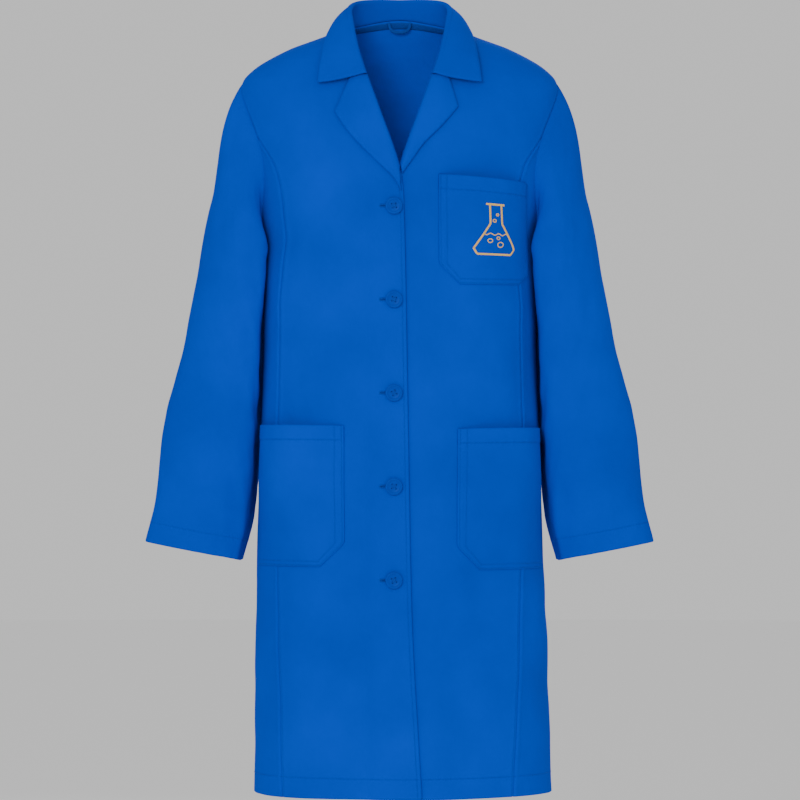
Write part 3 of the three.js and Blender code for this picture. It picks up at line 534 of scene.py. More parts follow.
twill_face = twill("twill_face", 0x0047C4, 0x0040B4, 0.88)
twill_inside = twill("twill_inside", 0x0858E8, 0x0550D8, 0.9)
blue_thread = spun_thread("blue_polyester_thread", 0x0650CC, 0x003498, 0.6, 0.15)
gold_thread = spun_thread("gold_rayon_thread", 0xFFDC84, 0xE0AC4C, 0.4, 0.4)
button_resin = moulded_resin("button_resin", 0x0040B4, 0x0036A0)
neck_tape_cotton = herringbone_tape("neck_tape_cotton", 0x0648B4, 0x003890)
paper = seamless_paper("floor_paper")
CLOTH_SIDES = [twill_face, twill_inside]

# ---- the two sides, and rows of stitching kept by the part of the coat they are sewn on -----
SIDES = {"left": 1, "right": -1}


# Lines of stitching wait here, by the body part they are sewn on, until all cloth is made.
stitch_lines = {key: [] for key in ("coat_body", "left_front", "right_front", "left_sleeve", "right_sleeve")}
satin_lines = {"right_front": [], "chest_emblem": []}


def declare(face, closed=False):
    flat, area = flat_size(face, closed)


def run_stitches(group, points):
    """A row of lockstitch along points, which lie on the cloth."""
    stitch_lines[group].append(np.asarray(points))


# ---- fronts, side panels and back ------------------------------------------------------------
FRONT_ROWS = np.concatenate([spaced(HEM, -975, 2.5), spaced(-970, -204, 6), spaced(-199, NECK_POINT, 3.0)])
SIDE_ROWS = np.concatenate([spaced(HEM, -975, 2.5), spaced(-970, PANEL_TOP, 6)])


def front_cloth(label, side):
    """A front from its free edge to the side panel's seam, the armhole and the shoulder."""
    us = along_seams(38)
    z = FRONT_ROWS[:, None]
    inner = angle_at(front_edge_x(side, z), z)
    outer = side_edge(z, FRONT_SCOOP)
    angle = mix(inner, outer, us[None, :])
    x = half_width(z) * np.sin(np.radians(angle))
    from_seam = arc(1 - us[None, :], inner, outer, z)
    lift = front_rise(side, x) + seam_dip(from_seam)
    from_edge = x - front_edge_x(side, z)
    pull = bell(from_edge - 5, 5) + bell(from_seam - 5, 5)
    pull = pull + bell(z - HEM - HEM_DEPTH, 6)
    face = cloth_face(side * angle, z + 0 * angle, lift)
    thickness = hem_thickness(z) + 0 * angle
    piece = sew(f"{label}_front_cloth", face, CLOTH_SIDES, thickness, inward=side < 0,
                pull=np.clip(pull, 0, 1))
    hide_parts(f"{label}_front_upper", f"{label}_front_lower")
    if side < 0:
        cut_buttonholes(piece)
    declare(face)
    zs = spaced(HEM + 3, V_POINT - 8, 3)
    edge = front_edge_x(side, zs) + 4.5
    run_stitches(f"{label}_front", cloth_face(side * angle_at(edge, zs), zs, front_rise(side, edge) + ON_TOP))
    zs = spaced(HEM + 3, SHOULDER_TIP - 12, 4)
    seam = side_edge(zs, FRONT_SCOOP) - np.degrees(5.5 / half_width(zs))
    run_stitches(f"{label}_front", cloth_face(side * seam, zs, IN_SEAM))
    hem_z = HEM + HEM_DEPTH
    hem_edge = float(front_edge_x(side, np.array(hem_z)))
    angles = spaced(float(angle_at(hem_edge + 3, hem_z)), 89.5, 1.0)
    hem_x = half_width(hem_z) * np.sin(np.radians(angles))
    hem_lift = front_rise(side, hem_x) + ON_TOP
    run_stitches(f"{label}_front", cloth_face(side * angles, hem_z + 0 * angles, hem_lift))
    return piece


def side_front_cloth(label, side):
    """The side panel in front of the side line, up to its point in the armhole."""
    us = along_seams(7)
    z = SIDE_ROWS[:, None]
    inner = panel_seam(z, FRONT_SCOOP)
    outer = armhole_edge(z, FRONT_SCOOP)
    angle = mix(inner, outer, us[None, :])
    from_seam = arc(us[None, :], inner, outer, z)
    face = cloth_face(side * angle, z + 0 * angle, seam_dip(from_seam))
    piece = sew(f"{label}_side_front_cloth", face, CLOTH_SIDES, hem_thickness(z) + 0 * angle, inward=side < 0,
                pull=bell(from_seam - 4, 5))
    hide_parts(f"{label}_side_panel_front", f"{label}_side_panel_underarm")
    declare(face)
    return piece


def side_back_cloth(label, side):
    """The side panel behind the side line."""
    us = along_seams(9)
    z = SIDE_ROWS[:, None]
    inner = 180 - armhole_edge(z, BACK_SCOOP)
    outer = 180 - panel_seam(z, BACK_SCOOP)
    angle = mix(inner, outer, us[None, :])
    from_seam = arc(1 - us[None, :], inner, outer, z)
    face = cloth_face(side * angle, z + 0 * angle, seam_dip(from_seam))
    piece = sew(f"{label}_side_back_cloth", face, CLOTH_SIDES, hem_thickness(z) + 0 * angle, inward=side < 0,
                pull=bell(from_seam - 4, 5))
    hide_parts(f"{label}_side_panel_back")
    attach(piece, "coat_body")
    declare(face)


def neck_seam_z(angle):
    """The back neck seam rises from the neck points to the centre back."""
    return NECK_POINT * (1 + np.cos(np.radians(2 * (np.abs(angle) - 90)))) / 2


def back_cloth():
    """The back in one piece, from side panel to side panel and up to the neck seam."""
    us = along_seams(56)
    levels = FRONT_ROWS[:, None]
    shoulder = SHOULDER_TIP + 16
    edge = 180 - side_edge(levels, BACK_SCOOP)
    angle = mix(edge, 360 - edge, us[None, :])
    rise = np.clip((levels - shoulder) / (NECK_POINT - shoulder), 0, 1)
    z = levels + rise * (neck_seam_z(np.where(angle > 180, 360 - angle, angle)) - NECK_POINT)
    from_seam = np.minimum(us, 1 - us)[None, :] * (360 - 2 * edge) * np.pi / 180 * half_width(levels)
    face = cloth_face(angle, z, seam_dip(from_seam))
    pull = bell(from_seam - 5, 5) + bell(levels - HEM - HEM_DEPTH, 6)
    piece = sew("back_cloth", face, CLOTH_SIDES, hem_thickness(z), pull=np.clip(pull, 0, 1))
    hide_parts("back_panel")
    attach(piece, "coat_body")
    declare(face)
    hem_z = HEM + HEM_DEPTH
    angles = spaced(90.5, 269.5, 1.0)
    run_stitches("coat_body", cloth_face(angles, hem_z + 0 * angles, ON_TOP))
    zs = spaced(HEM + 3, SHOULDER_TIP - 12, 4)
    for side in (1, -1):
        seam = 180 - side_edge(zs, BACK_SCOOP) + np.degrees(5.5 / half_width(zs))
        run_stitches("coat_body", cloth_face(side * seam, zs, IN_SEAM))


def facing_cloth(label, side):
    """The facing behind a front's edge."""
    z = spaced(HEM + 4, V_POINT - 13, 8)[:, None]
    start = front_edge_x(side, z) + 1
    x = mix(start, 45.0, np.linspace(0, 1, 12)[None, :])
    lift = front_rise(side, x) - BEHIND_FRONT
    face = cloth_face(side * angle_at(x, z), z + 0 * x, lift)
    piece = sew(f"{label}_facing_cloth", face, [twill_inside], CLOTH, inward=side < 0)
    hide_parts(f"{label}_front_facing")
    declare(face)
    return piece


# ---- sleeves -----------------------------------------------------------------------------------
SLEEVE_TOP = ARMPIT - 15
CUFF = -704.0
sleeve_inner_gap = profile([(0, 0.8), (0.3, 1), (0.66, 1.2), (0.85, 2), (1, 4.6)])
sleeve_width = profile([(0, 101), (0.15, 92), (0.3, 98), (0.66, 124), (1, 127)])
sleeve_tilt = profile([(0, 52), (0.15, 28), (0.3, 12), (0.66, 10), (1, 11)])
sleeve_depth = profile([(0, 128), (0.3, 116), (0.66, 89.6), (1, 64)])
sleeve_back = profile([(0, 2), (0.15, 8), (0.3, 12), (1, 4)])
STAND_OFF = 4.5
SIDE_FLATNESS = 1.7  # 1 is an ellipse, more lies flatter against the coat's side


def sleeve_ring(turn, v):
    """A section of the sleeve below the fold at the underarm. turn 0 is the outer side."""
    z = mix(SLEEVE_TOP, CUFF, v)
    tilt = np.radians(sleeve_tilt(v))
    across = sleeve_width(v) * ((1 + np.cos(turn)) / 2) ** SIDE_FLATNESS
    y = sleeve_back(v) + sleeve_depth(v) / 2 * np.sin(turn)
    depth = np.where(y < 0, front_depth(z), back_depth(z))
    recess = half_width(z) * (1 - np.sqrt(np.clip(1 - (y / depth) ** 2, 0, 1)))
    hug = recess * (1 - ease(2 * across / sleeve_width(v)))
    x = half_width(z) + STAND_OFF * sleeve_inner_gap(v) - hug + across * np.cos(tilt)
    return np.stack(np.broadcast_arrays(x, y - NECK_BACK, z + across * np.sin(tilt)), -1)


def armhole_ring(turn):
    """The armhole seam, in which the sleeve starts just behind the body's cloth."""
    z = mix(ARMPIT, SHOULDER_TIP, (1 + np.cos(turn)) / 2)
    front = armhole_angle(z, FRONT_SCOOP)
    behind = 180 - armhole_angle(z, BACK_SCOOP)
    return cloth_face(np.where(np.sin(turn) >= 0, behind, front), z, -0.6)


def sleeve_face(columns):
    """The sleeve from the armhole seam over the shoulder's head down to the cuff."""
    turn = np.linspace(0, 2 * np.pi, columns, endpoint=False)[None, :]
    start, fold = armhole_ring(turn), sleeve_ring(turn, np.zeros((1, 1)))
    reach = np.linalg.norm(fold - start, axis=-1, keepdims=True) / 3
    leaving = start + np.array([0.62, 0, -0.78]) * reach
    arriving = fold - np.array([0.19, 0, -0.98]) * reach
    head = []
    for t in np.concatenate([[0, 0.012, 0.03], np.linspace(0.06, 0.97, 26)]):
        points = (1 - t) ** 3 * start + 3 * t * (1 - t) ** 2 * leaving
        head.append(points + 3 * t * t * (1 - t) * arriving + t**3 * fold)
    tube = [sleeve_ring(turn, np.full((1, 1), v)) for v in np.concatenate([np.linspace(0.004, 0.93, 78),
                                                                         np.linspace(0.936, 1, 12)])]
    face = np.concatenate(head + tube, 0)
    down = np.cumsum(np.concatenate([[0], np.linalg.norm(np.diff(face, axis=0), axis=-1).mean(1)]))[:, None]
    wrapped = np.concatenate([face[:, -1:], face, face[:, :1]], 1)
    across = np.gradient(wrapped, axis=1)[:, 1:-1]
    normal = -unit(np.cross(across, np.gradient(face, axis=0)))
    outward = face - face.mean(1, keepdims=True)
    if (normal * outward).sum() < 0:
        normal = -normal
    ring_x, ring_y = 1.7 * np.cos(turn), 1.7 * np.sin(turn)
    from_head = ease(down / 40)
    long_folds = soft_noise(ring_x + down / 210, ring_y + down / 260, 11)
    slanted = soft_noise(2.2 * ring_x + down / 90, 2.2 * ring_y - down / 70, 12)
    short = soft_noise(5 * ring_x + down / 30, 5 * ring_y + down / 26, 13)
    inner_side = ease((-np.cos(turn) + 0.2) / 1.2)
    elbow = bell(down - 330, 70) * (0.4 + inner_side)
    underarm = bell(down - 110, 60) * inner_side
    ripples = np.sin(down / 8.5 + 2.2 * np.sin(turn))
    outer_side = ease(np.cos(turn) * 2 - 0.6)
    rise = 2.0 * long_folds + 1.7 * slanted + 0.6 * short + 1.1 * ripples * (elbow + 0.7 * underarm)
    rise = rise * from_head * (1 - 0.35 * inner_side) * (1 - 0.6 * outer_side)
    gathers = 0.5 * np.cos(34 * turn) * np.exp(-down / 14) * (np.cos(turn) > 0.1)
    face = face + normal * (rise + gathers)[..., None]
    total = float(down[-1, 0])
    return face, turn, down, total


def sleeve_cloth(label, side):
    """A sleeve in one piece, with folds at the elbow and a turned hem."""
    columns = 96
    face, turn, down, total = sleeve_face(columns)
    face = face * np.array([side, 1, 1])
    thickness = mix(CLOTH, 3.0 * CLOTH, ease((down - total + HEM_DEPTH) / 2.0)) + 0 * turn
    pull = bell(down - 5, 5) + bell(down - total + HEM_DEPTH, 5) + 0 * turn
    piece = sew(f"{label}_sleeve_cloth", face, CLOTH_SIDES, thickness, inward=side > 0, closed=True,
                pull=np.clip(pull, 0, 1))
    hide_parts(f"{label}_sleeve_cap", f"{label}_sleeve")
    declare(face, closed=True)
    row = int(np.argmin(np.abs(down[:, 0] - (total - HEM_DEPTH))))
    around = face[row]
    centre = around.mean(0)
    ring = around + unit(around - centre) * ON_TOP
    run_stitches(f"{label}_sleeve", np.concatenate([ring, ring[:1]]))
    return piece


# ---- collar and lapels ---------------------------------------------------------------------------
def through(points):
    """A smooth curve through points, by a place from 0 to 1."""
    knots = np.array(points, float)
    padded = np.concatenate([2 * knots[:1] - knots[1:2], knots, 2 * knots[-1:] - knots[-2:-1]])

    def curve(t):
        place = np.clip(np.asarray(t, float), 0, 1) * (len(knots) - 1)
        k = np.minimum(place.astype(int), len(knots) - 2)
        s = (place - k)[..., None]
        a, b, c, d = (padded[k + i] for i in range(4))
        square, cube = 2 * a - 5 * b + 4 * c - d, 3 * b - a - 3 * c + d
        return 0.5 * (2 * b + (c - a) * s + square * s**2 + cube * s**3)

    return curve


STAND_HEIGHT = 23.5
FALL_WIDTH = 63.5
FALL_EDGE = STAND_HEIGHT - FALL_WIDTH  # at the centre back
roll_half = through([
    (44, -96, GORGE), (55, -75, -44), (62, -38, -10), (64, -6, STAND_HEIGHT - 14), (55, 24, STAND_HEIGHT - 4),
    (31, 43, STAND_HEIGHT), (0, NECK_BACK - 1, STAND_HEIGHT),
])
fall_half = through([
    (105, -92, GORGE - 11), (101, -77, -60), (96, -50, -34), (88, -8, -15), (82, 36, FALL_EDGE + 14),
    (50, 68, FALL_EDGE + 4), (0, 76, FALL_EDGE),
])


def both_halves(curve, u):
    """A curve for half the collar, used round the whole neck: u 0 and 1 are its front ends."""
    half = np.where(u <= 0.5, 2 * u, 2 - 2 * u)
    points = curve(half)
    points[..., 0] *= np.where(u <= 0.5, -1, 1)
    return points


def neck_seam(u):
    """The seam of collar and neck, from the right front end (0) round the back to the left (1)."""
    half = np.where(u <= 0.5, u, 1 - u)
    turn_at = 0.2
    z = mix(GORGE, NECK_POINT, np.clip(half / turn_at, 0, 1))
    front = angle_at(neck_seam_x(z), z)
    neck_point = angle_at(neck_seam_x(NECK_POINT), NECK_POINT)
    round_back = mix(neck_point, 180.0, (half - turn_at) / (0.5 - turn_at))
    angle = np.where(half < turn_at, front, round_back)
    height = np.where(half < turn_at, z, neck_seam_z(angle))
    points = form(angle, height)
    points[..., 0] *= np.where(u <= 0.5, -1, 1)
    return points


def clear_of_body(points, clearance):
    """Moves points out level until they clear the form under them."""
    x, y, z = points[..., 0], points[..., 1], points[..., 2]
    depth = np.where(y < 0, front_depth(z), back_depth(z))
    reach = np.hypot(x / (half_width(z) + clearance), y / (depth + clearance))
    scale = np.where((z < 0) & (reach < 1), 1 / np.maximum(reach, 1e-6), 1)
    return np.stack([x * scale, y * scale, z], -1)


def collar_cloth():
    """Collar in one piece: up the stand, over the roll and down the fall."""
    u = np.linspace(0, 1, 121)
    seam, roll, end = neck_seam(u), both_halves(roll_half, u), both_halves(fall_half, u)
    away = unit(np.stack([roll[:, 0], roll[:, 1] + 12, 0 * u], -1))
    rise = unit(roll - seam)
    short = ease(np.linalg.norm(roll - seam, axis=-1, keepdims=True) / 14)
    section = [mix(seam - 1.4 * away + 0.8 * rise, roll - 1.4 * away, t) for t in np.linspace(0, 1, 9)[:-1]]
    for turn in np.linspace(0, np.pi, 9):
        around = away * (1.1 - 2.5 * np.cos(turn)) + rise * 2.2 * np.sin(turn) * short
        section.append(roll + around)
    start = roll + away * 3.6
    from_front = ease(np.minimum(u, 1 - u) / 0.1)[:, None]
    lifted = np.array([0, 0, 4.0])  # the fall arches up behind the neck and droops at its front ends
    middle = mix(start, end, 0.45) + away * 5 + lifted * from_front - lifted * (1 - from_front)
    for t in np.linspace(0, 1, 22)[1:]:
        point = (1 - t) ** 2 * start + 2 * t * (1 - t) * middle + t * t * end
        section.append(clear_of_body(point, 6.4))
    face = np.stack(section)
    wave = soft_noise(face[..., 0] / 45, face[..., 1] / 45, 21) * 0.7
    face[..., 2] += wave * ease((np.arange(len(face))[:, None] - 16) / 10)
    face[..., 1] -= NECK_BACK
    rows = len(face)
    near_edge = np.abs(np.arange(rows)[:, None] - (rows - 3))
    pull = np.clip(bell(near_edge, 1.8) + bell(np.minimum(u, 1 - u)[None, :], 0.02), 0, 1)
    piece = sew("collar_cloth", face, [twill_face], 1.5, inward=True, pull=pull)
    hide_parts("collar_stand", "collar_fall")
    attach(piece, "coat_body")
    declare(face)
    fall = face[rows - 20:]
    drop = np.linalg.norm(np.diff(fall, axis=0), axis=-1)
    from_end = np.concatenate([np.cumsum(drop[::-1], 0)[::-1], np.zeros((1, len(u)))])
    line = []
    for column in range(3, len(u) - 3):
        k = int(np.argmin(np.abs(from_end[:, column] - 5)))
        line.append(fall[k, column])
    line = np.array(line)
    out = unit(np.stack([line[:, 0], line[:, 1] + NECK_BACK, 60 + 0 * line[:, 0]], -1))
    run_stitches("coat_body", line + 0.3 * out)
    for column in (3, len(u) - 4):
        end_line = fall[1:-2, column]
        run_stitches("coat_body", end_line + 0.3 * unit(end_line * [1, 1, 0] + [0, 0, 20]))


LAPEL_NOTCH = np.array([62.0, GORGE - 4])
LAPEL_EDGES = {
    1: [(3.0, -207.0), (16, -189), (30.5, -169), (52.5, -147), (74, -122)],
    -1: [(-2.4, -230.0), (7, -213), (20.5, -200), (43, -178), (65, -154), (82, -129)],
}


def lapel_point(side, u, v, extra=0.0):
    """u runs from the roll line (0) to the lapel's edge (1), v from the V point up to the notch."""
    low = V_POINT + (3 if side > 0 else -6)
    tip = np.array(LAPEL_EDGES[side][-1])
    edge = through(LAPEL_EDGES[side])
    tip_at = 0.74
    outer = edge(np.clip(v / tip_at, 0, 1))
    notch = mix(tip, LAPEL_NOTCH, np.clip((v - tip_at) / (1 - tip_at), 0, 1)[..., None])
    outer = np.where((v < tip_at)[..., None], outer, notch)
    roll_z = mix(low, GORGE - 1.5, v)
    roll_x = roll_line_x(roll_z)
    x = mix(roll_x, outer[..., 0], u)
    z = mix(roll_z, outer[..., 1], u)
    lift = front_rise(side, x) + 2.7 + 2.6 * np.sin(np.pi * np.clip(u, 0, 1)) ** 0.8 + extra
    return x, z, lift


def lapel_cloth(label, side):
    """The front turned back from its roll line, tucked a little way into the roll."""
    v = np.concatenate([np.linspace(0, 0.74, 40), np.linspace(0.76, 1, 14)])[:, None]
    tuck = np.array([(5.0, -2.4), (2.0, -2.1), (-0.8, -1.2), (-1.4, 0.6), (-0.6, 2.0)])
    flat = np.linspace(0.03, 1, 26)[None, :]
    x, z, lift = lapel_point(side, flat + 0 * v, v + 0 * flat)
    roll_x, roll_z, roll_lift = lapel_point(side, 0 * v, v)
    x = np.concatenate([roll_x + tuck[None, :, 0], x], 1)
    z = np.concatenate([roll_z + 0 * tuck[None, :, 0], z], 1)
    lift = np.concatenate([roll_lift - 2.7 + tuck[None, :, 1], lift], 1)
    face = cloth_face(side * angle_at(x, z), z, lift)
    columns = np.arange(x.shape[1])[None, :]
    pull = np.clip(bell(columns - x.shape[1] + 3.0, 1.8) + 0 * v, 0, 1)
    piece = sew(f"{label}_lapel_cloth", face, [twill_face], 1.4, inward=side > 0, pull=pull)
    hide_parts(f"{label}_lapel")
    declare(face)
    edge_v = np.concatenate([np.linspace(0.06, 0.72, 50), np.linspace(0.76, 0.99, 16)])
    width = 5.0
    x, z, _ = lapel_point(side, np.ones_like(edge_v), edge_v)
    roll_x, roll_z, _ = lapel_point(side, np.zeros_like(edge_v), edge_v)
    inset = 1 - width / np.maximum(np.hypot(x - roll_x, z - roll_z), width + 1)
    x, z, lift = lapel_point(side, inset, edge_v, ON_TOP)
    run_stitches(f"{label}_front", cloth_face(side * angle_at(x, z), z, lift))
    return piece


# ---- pockets ------------------------------------------------------------------------------------
def pocket_surface(side, from_x, to_x, top, bottom, cut_inner, cut_outer, slope):
    """The face of a patch pocket by u from its inner edge and v from its bottom, in 0 to 1."""
    height = top - bottom

    def at(u, v, raised=0.0):
        level = mix(bottom, top, v)
        inner = angle_at(from_x + np.maximum(0, cut_inner - v * height), level)
        outer = angle_at(to_x(level) - np.maximum(0, cut_outer - v * height), level)
        angle = mix(inner, outer, u)
        z = mix(bottom, top - slope * u, v)
        swell = 17.0 * np.sin(np.pi * np.clip(u, 0, 1)) * ease(v * 1.5)
        x = half_width(z) * np.sin(np.radians(angle))
        lift = front_rise(side, x) + 1.1 + swell + raised
        return cloth_face(side * angle, z, lift)

    return at


def pocket_cloth(name, side, at, height, group, node):
    """A patch pocket with its turned band, two rows of stitches round it and one along the band."""
    band = 18.0
    u = np.concatenate([
        [0, 0.006, 0.014, 0.03, 0.05], np.linspace(0.08, 0.92, 30), [0.95, 0.97, 0.986, 0.994, 1],
    ])
    v = np.concatenate([np.linspace(0, 0.12, 8), np.linspace(0.145, 1 - (band + 4) / height, 22),
                        1 - np.array([band + 1, band, band - 1, 12, 6, 2, 0]) / height])
    uu, vv = np.meshgrid(u, v)
    in_band = ease((vv - 1 + (band + 0.5) / height) * height)
    face = at(uu, vv, 0.6 * in_band)
    near = np.minimum(np.minimum(uu, 1 - uu) * 100, vv * height)
    pull = np.clip(bell(near - 3, 3) + bell((1 - vv) * height - band, 4), 0, 1)
    piece = sew(name, face, CLOTH_SIDES, CLOTH + 1.0 * in_band, inward=side < 0, pull=pull)
    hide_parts(node)
    declare(face)
    for inset in (1.6, 7.0):
        s = inset / 105
        down = np.linspace(0.995, inset / height, 60)
        across = np.linspace(s, 1 - s, 40)
        run_stitches(group, at(np.full_like(down, s), down, 0.8 * (down > 1 - band / height) + 0.2))
        run_stitches(group, at(across, np.full_like(across, inset / height), 0.2))
        up = down[::-1]
        run_stitches(group, at(np.full_like(up, 1 - s), up, 0.8 * (up > 1 - band / height) + 0.2))
    across = np.linspace(0.02, 0.98, 60)
    run_stitches(group, at(across, np.full_like(across, 1 - band / height), 0.7))
    return piece


# ---- buttonholes, buttons and their thread ---------------------------------------------------------
HOLE_LENGTH = 20.0
HOLE_END_X = BUTTON_X + 3.1
SLIT = 0.9
HOLE_OFFSET, HOLE_RADIUS = 2.4, 1.1  # of the four holes in a button
THREAD_RADIUS = 0.3


def cut_buttonholes(piece):
    """Cuts a slit for each button through the right front."""
    for z in BUTTON_ZS:
        bm = bmesh.new()
        bmesh.ops.create_cube(bm, size=1)
        slit = to_mesh(bm, "slit")
        seat_y = cloth_face(angle_at(-BUTTON_X, z) * -1, np.array(z), LAP_RISE)[1]
        place = Vector(((HOLE_END_X - HOLE_LENGTH / 2) * MM, seat_y * MM, z * MM))
        size = Matrix.Diagonal((HOLE_LENGTH * MM, 0.012, SLIT * MM, 1))
        slit.transform(Matrix.Translation(place) @ size)
        carve(piece, slit)


def buttonhole_satin(z):
    """The line round a buttonhole that its satin stitches lie across."""
    half, rim = SLIT / 2 + 0.8, 0.8
    left, right = HOLE_END_X - HOLE_LENGTH - rim, HOLE_END_X + rim
    corners = [(left, z - half), (right, z - half), (right, z + half), (left, z + half), (left, z - half)]
    points, lays = [], []
    for (x0, z0), (x1, z1) in zip(corners, corners[1:]):
        for t in np.linspace(0, 1, 24, endpoint=False):
            points.append((mix(x0, x1, t), mix(z0, z1, t)))
            lays.append((0, 0, 1) if z0 == z1 else (1, 0, 0))
    x, zz = np.array(points).T
    face = cloth_face(-angle_at(-x, zz), zz, LAP_RISE + ON_TOP)
    satin_lines["right_front"].append((face, np.array(lays, float), 1.0))


def button_mesh(name):
    """A four-hole coat button: a dished middle, a rounded rim, and a slightly domed back."""
    radius, thick = 11.0, 3.2
    outline = [
        (0, 0), (6, 0.0), (9.3, 0.25), (10.5, 0.8), (radius, 1.7), (10.8, 2.5), (10.1, 3.05), (9.3, thick),
        (8.6, 3.05), (7.9, 2.5), (7.2, 2.15), (5, 2.0), (0, 1.9),
    ]
    segments = 56
    bm = bmesh.new()
    rings = []
    for r, h in outline:
        count = 1 if r == 0 else segments
        ring = []
        for k in range(count):
            turn = math.tau * k / segments
            ring.append(bm.verts.new((r * math.cos(turn) * MM, r * math.sin(turn) * MM, h * MM)))
        rings.append(ring)
    for low, high in zip(rings, rings[1:]):
        for k in range(segments):
            a, b = low[k % len(low)], low[(k + 1) % len(low)]
            c, d = high[(k + 1) % len(high)], high[k % len(high)]
            bm.faces.new(list(dict.fromkeys([a, b, c, d])))
    bmesh.ops.recalc_face_normals(bm, faces=bm.faces)
    button = put_in_scene(name, to_mesh(bm, name))
    offset, radius = HOLE_OFFSET, HOLE_RADIUS * MM
    for x, y in ((offset, offset), (-offset, offset), (-offset, -offset), (offset, -offset)):
        bm = bmesh.new()
        bmesh.ops.create_cone(bm, cap_ends=True, segments=20, radius1=radius, radius2=radius, depth=0.02)
        drill = to_mesh(bm, "drill")
        drill.transform(Matrix.Translation((x * MM, y * MM, 0)))
        carve(button, drill)
    mesh = button.data
    bpy.data.objects.remove(button)
    smooth(mesh)
    mesh.set_sharp_from_angle(angle=math.radians(38))
    mesh.materials.clear()
    mesh.materials.append(button_resin)
    return mesh


def strand(bm, points, radius, sides=8):
    """A strand of thread through points, in millimetres, with closed ends."""
    points = [Vector(p) for p in points]
    rings = []
    for i, p in enumerate(points):
        along = (points[min(i + 1, len(points) - 1)] - points[max(i - 1, 0)]).normalized()
        side = along.orthogonal().normalized()
        up = along.cross(side)
        turns = [math.tau * k / sides for k in range(sides)]
        spokes = [side * math.cos(turn) + up * math.sin(turn) for turn in turns]
        rings.append([bm.verts.new((p + radius * spoke) * MM) for spoke in spokes])
    for low, high in zip(rings, rings[1:]):
        best = min(range(sides), key=lambda k: (high[k].co - low[0].co).length)
        for k in range(sides):
            a, b = low[k], low[(k + 1) % sides]
            c, d = high[(k + 1 + best) % sides], high[(k + best) % sides]
            bm.faces.new((a, b, c, d))
    bm.faces.new(rings[0][::-1])
    bm.faces.new(rings[-1])


def thread_mesh(name):
    """Three strands each way through the holes, and the wound shank behind the button."""
    bm = bmesh.new()
    offset, top, back = HOLE_OFFSET, 2.15, -3.4
    for sign in (1, -1):
        for lane in (-0.5, 0.0, 0.5):
            points = []
            for t in np.linspace(0, 1, 13):
                reach = mix(-offset, offset, t)
                height = top + 0.55 * math.sin(math.pi * t) ** 0.5 + 0.25 * (sign > 0)
                points.append((reach + lane, sign * reach - sign * lane, height))
            start = (points[0][0], points[0][1], -0.4)
            end = (points[-1][0], points[-1][1], -0.4)
            strand(bm, [start, *points, end], THREAD_RADIUS)
    coil = []
    for t in np.linspace(0, 1, 90):
        turn = math.tau * 6.5 * t
        coil.append((0.95 * math.cos(turn), 0.95 * math.sin(turn), mix(-0.3, back, t)))
    strand(bm, coil, THREAD_RADIUS, 6)
    strand(bm, [(0, 0, -0.2), (0, 0, back)], 0.8)
    bmesh.ops.recalc_face_normals(bm, faces=bm.faces)
    mesh = to_mesh(bm, name)
    smooth(mesh)
    mesh.materials.append(blue_thread)
    return mesh


def sew_on_buttons():
    """Buttons on the left front, each turned as chance left it, and the buttonholes over them."""
    disc, thread = button_mesh("button_disc"), thread_mesh("button_thread_shape")
    facing_out = Matrix.Rotation(math.pi / 2, 4, "X")
    for i, seat in enumerate(button_seats):
        cloth_y = cloth_face(-angle_at(-BUTTON_X, BUTTON_ZS[i]), np.array(BUTTON_ZS[i]), LAP_RISE)[1] * MM
        turned = Matrix.Rotation(math.radians((7, -12, 24, -5, 15)[i]), 4, "Z")
        place = Matrix.Translation((seat.x, cloth_y - 1.5 * MM, seat.z)) @ facing_out @ turned
        for label, shape, node, slot in (("button_disc", disc, "button", "button"),
                                         ("button_sewing", thread, "button_thread", "button_thread")):
            mesh = shape.copy()
            mesh.transform(place)
            piece = put_in_scene(f"{label}_{i + 1}", mesh)
            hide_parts(f"{node}_{i + 1}")
            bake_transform(piece)
        buttonhole_satin(BUTTON_ZS[i])


# ---- emblem ----------------------------------------------------------------------------------------
def embroider_flask(at):
    """A plain laboratory flask with liquid and bubbles, in satin stitch on the chest pocket."""
    wide, high = 113, 140  # the pocket that it is drawn on
    half, neck, base, lift = 33.0, 6.6, 23.8, 0.35
    shoulder, corner = 8.3, -25.7
    outline = [
        (-neck, half), (-neck, shoulder), (-base, corner), (-base + 4, -half),
        (base - 4, -half), (base, corner), (neck, shoulder), (neck, half),
    ]
    rim = [(-neck - 4, half), (neck + 4, half)]
    level = -6.0
    level_half = mix(neck, base, (shoulder - level) / 34) - 1.0
    surface_line = [(level_half * t, level + 1.2 * math.sin(9 * t)) for t in np.linspace(-1, 1, 24)]
    circles = []
    for cx, cy, r in ((-7, -15, 2.6), (5, -20, 3.4), (2, -11, 1.8), (-2, 12, 1.8), (1.5, 20, 1.4)):
        circles.append([(cx + r * math.cos(a), cy + r * math.sin(a)) for a in np.linspace(0, math.tau, 20)])
    for line in (outline, rim, surface_line, *circles):
        points, lays = [], []
        for (x0, y0), (x1, y1) in zip(line, line[1:]):
            steps = max(2, int(math.hypot(x1 - x0, y1 - y0) / 0.5))
            for t in np.linspace(0, 1, steps, endpoint=False):
                points.append((mix(x0, x1, t), mix(y0, y1, t)))
                lays.append((y1 - y0, x0 - x1))
        x, y = np.array(points).T
        across = unit(np.array(lays, float))
        spot = at(0.5 + x / wide, 0.52 + y / high, lift)
        beside = at(0.5 + (x + across[:, 0]) / wide, 0.52 + (y + across[:, 1]) / high, lift)
        width = 1.0 if line in (outline, rim) else 0.5
        satin_lines["chest_emblem"].append((spot, unit(beside - spot), width))


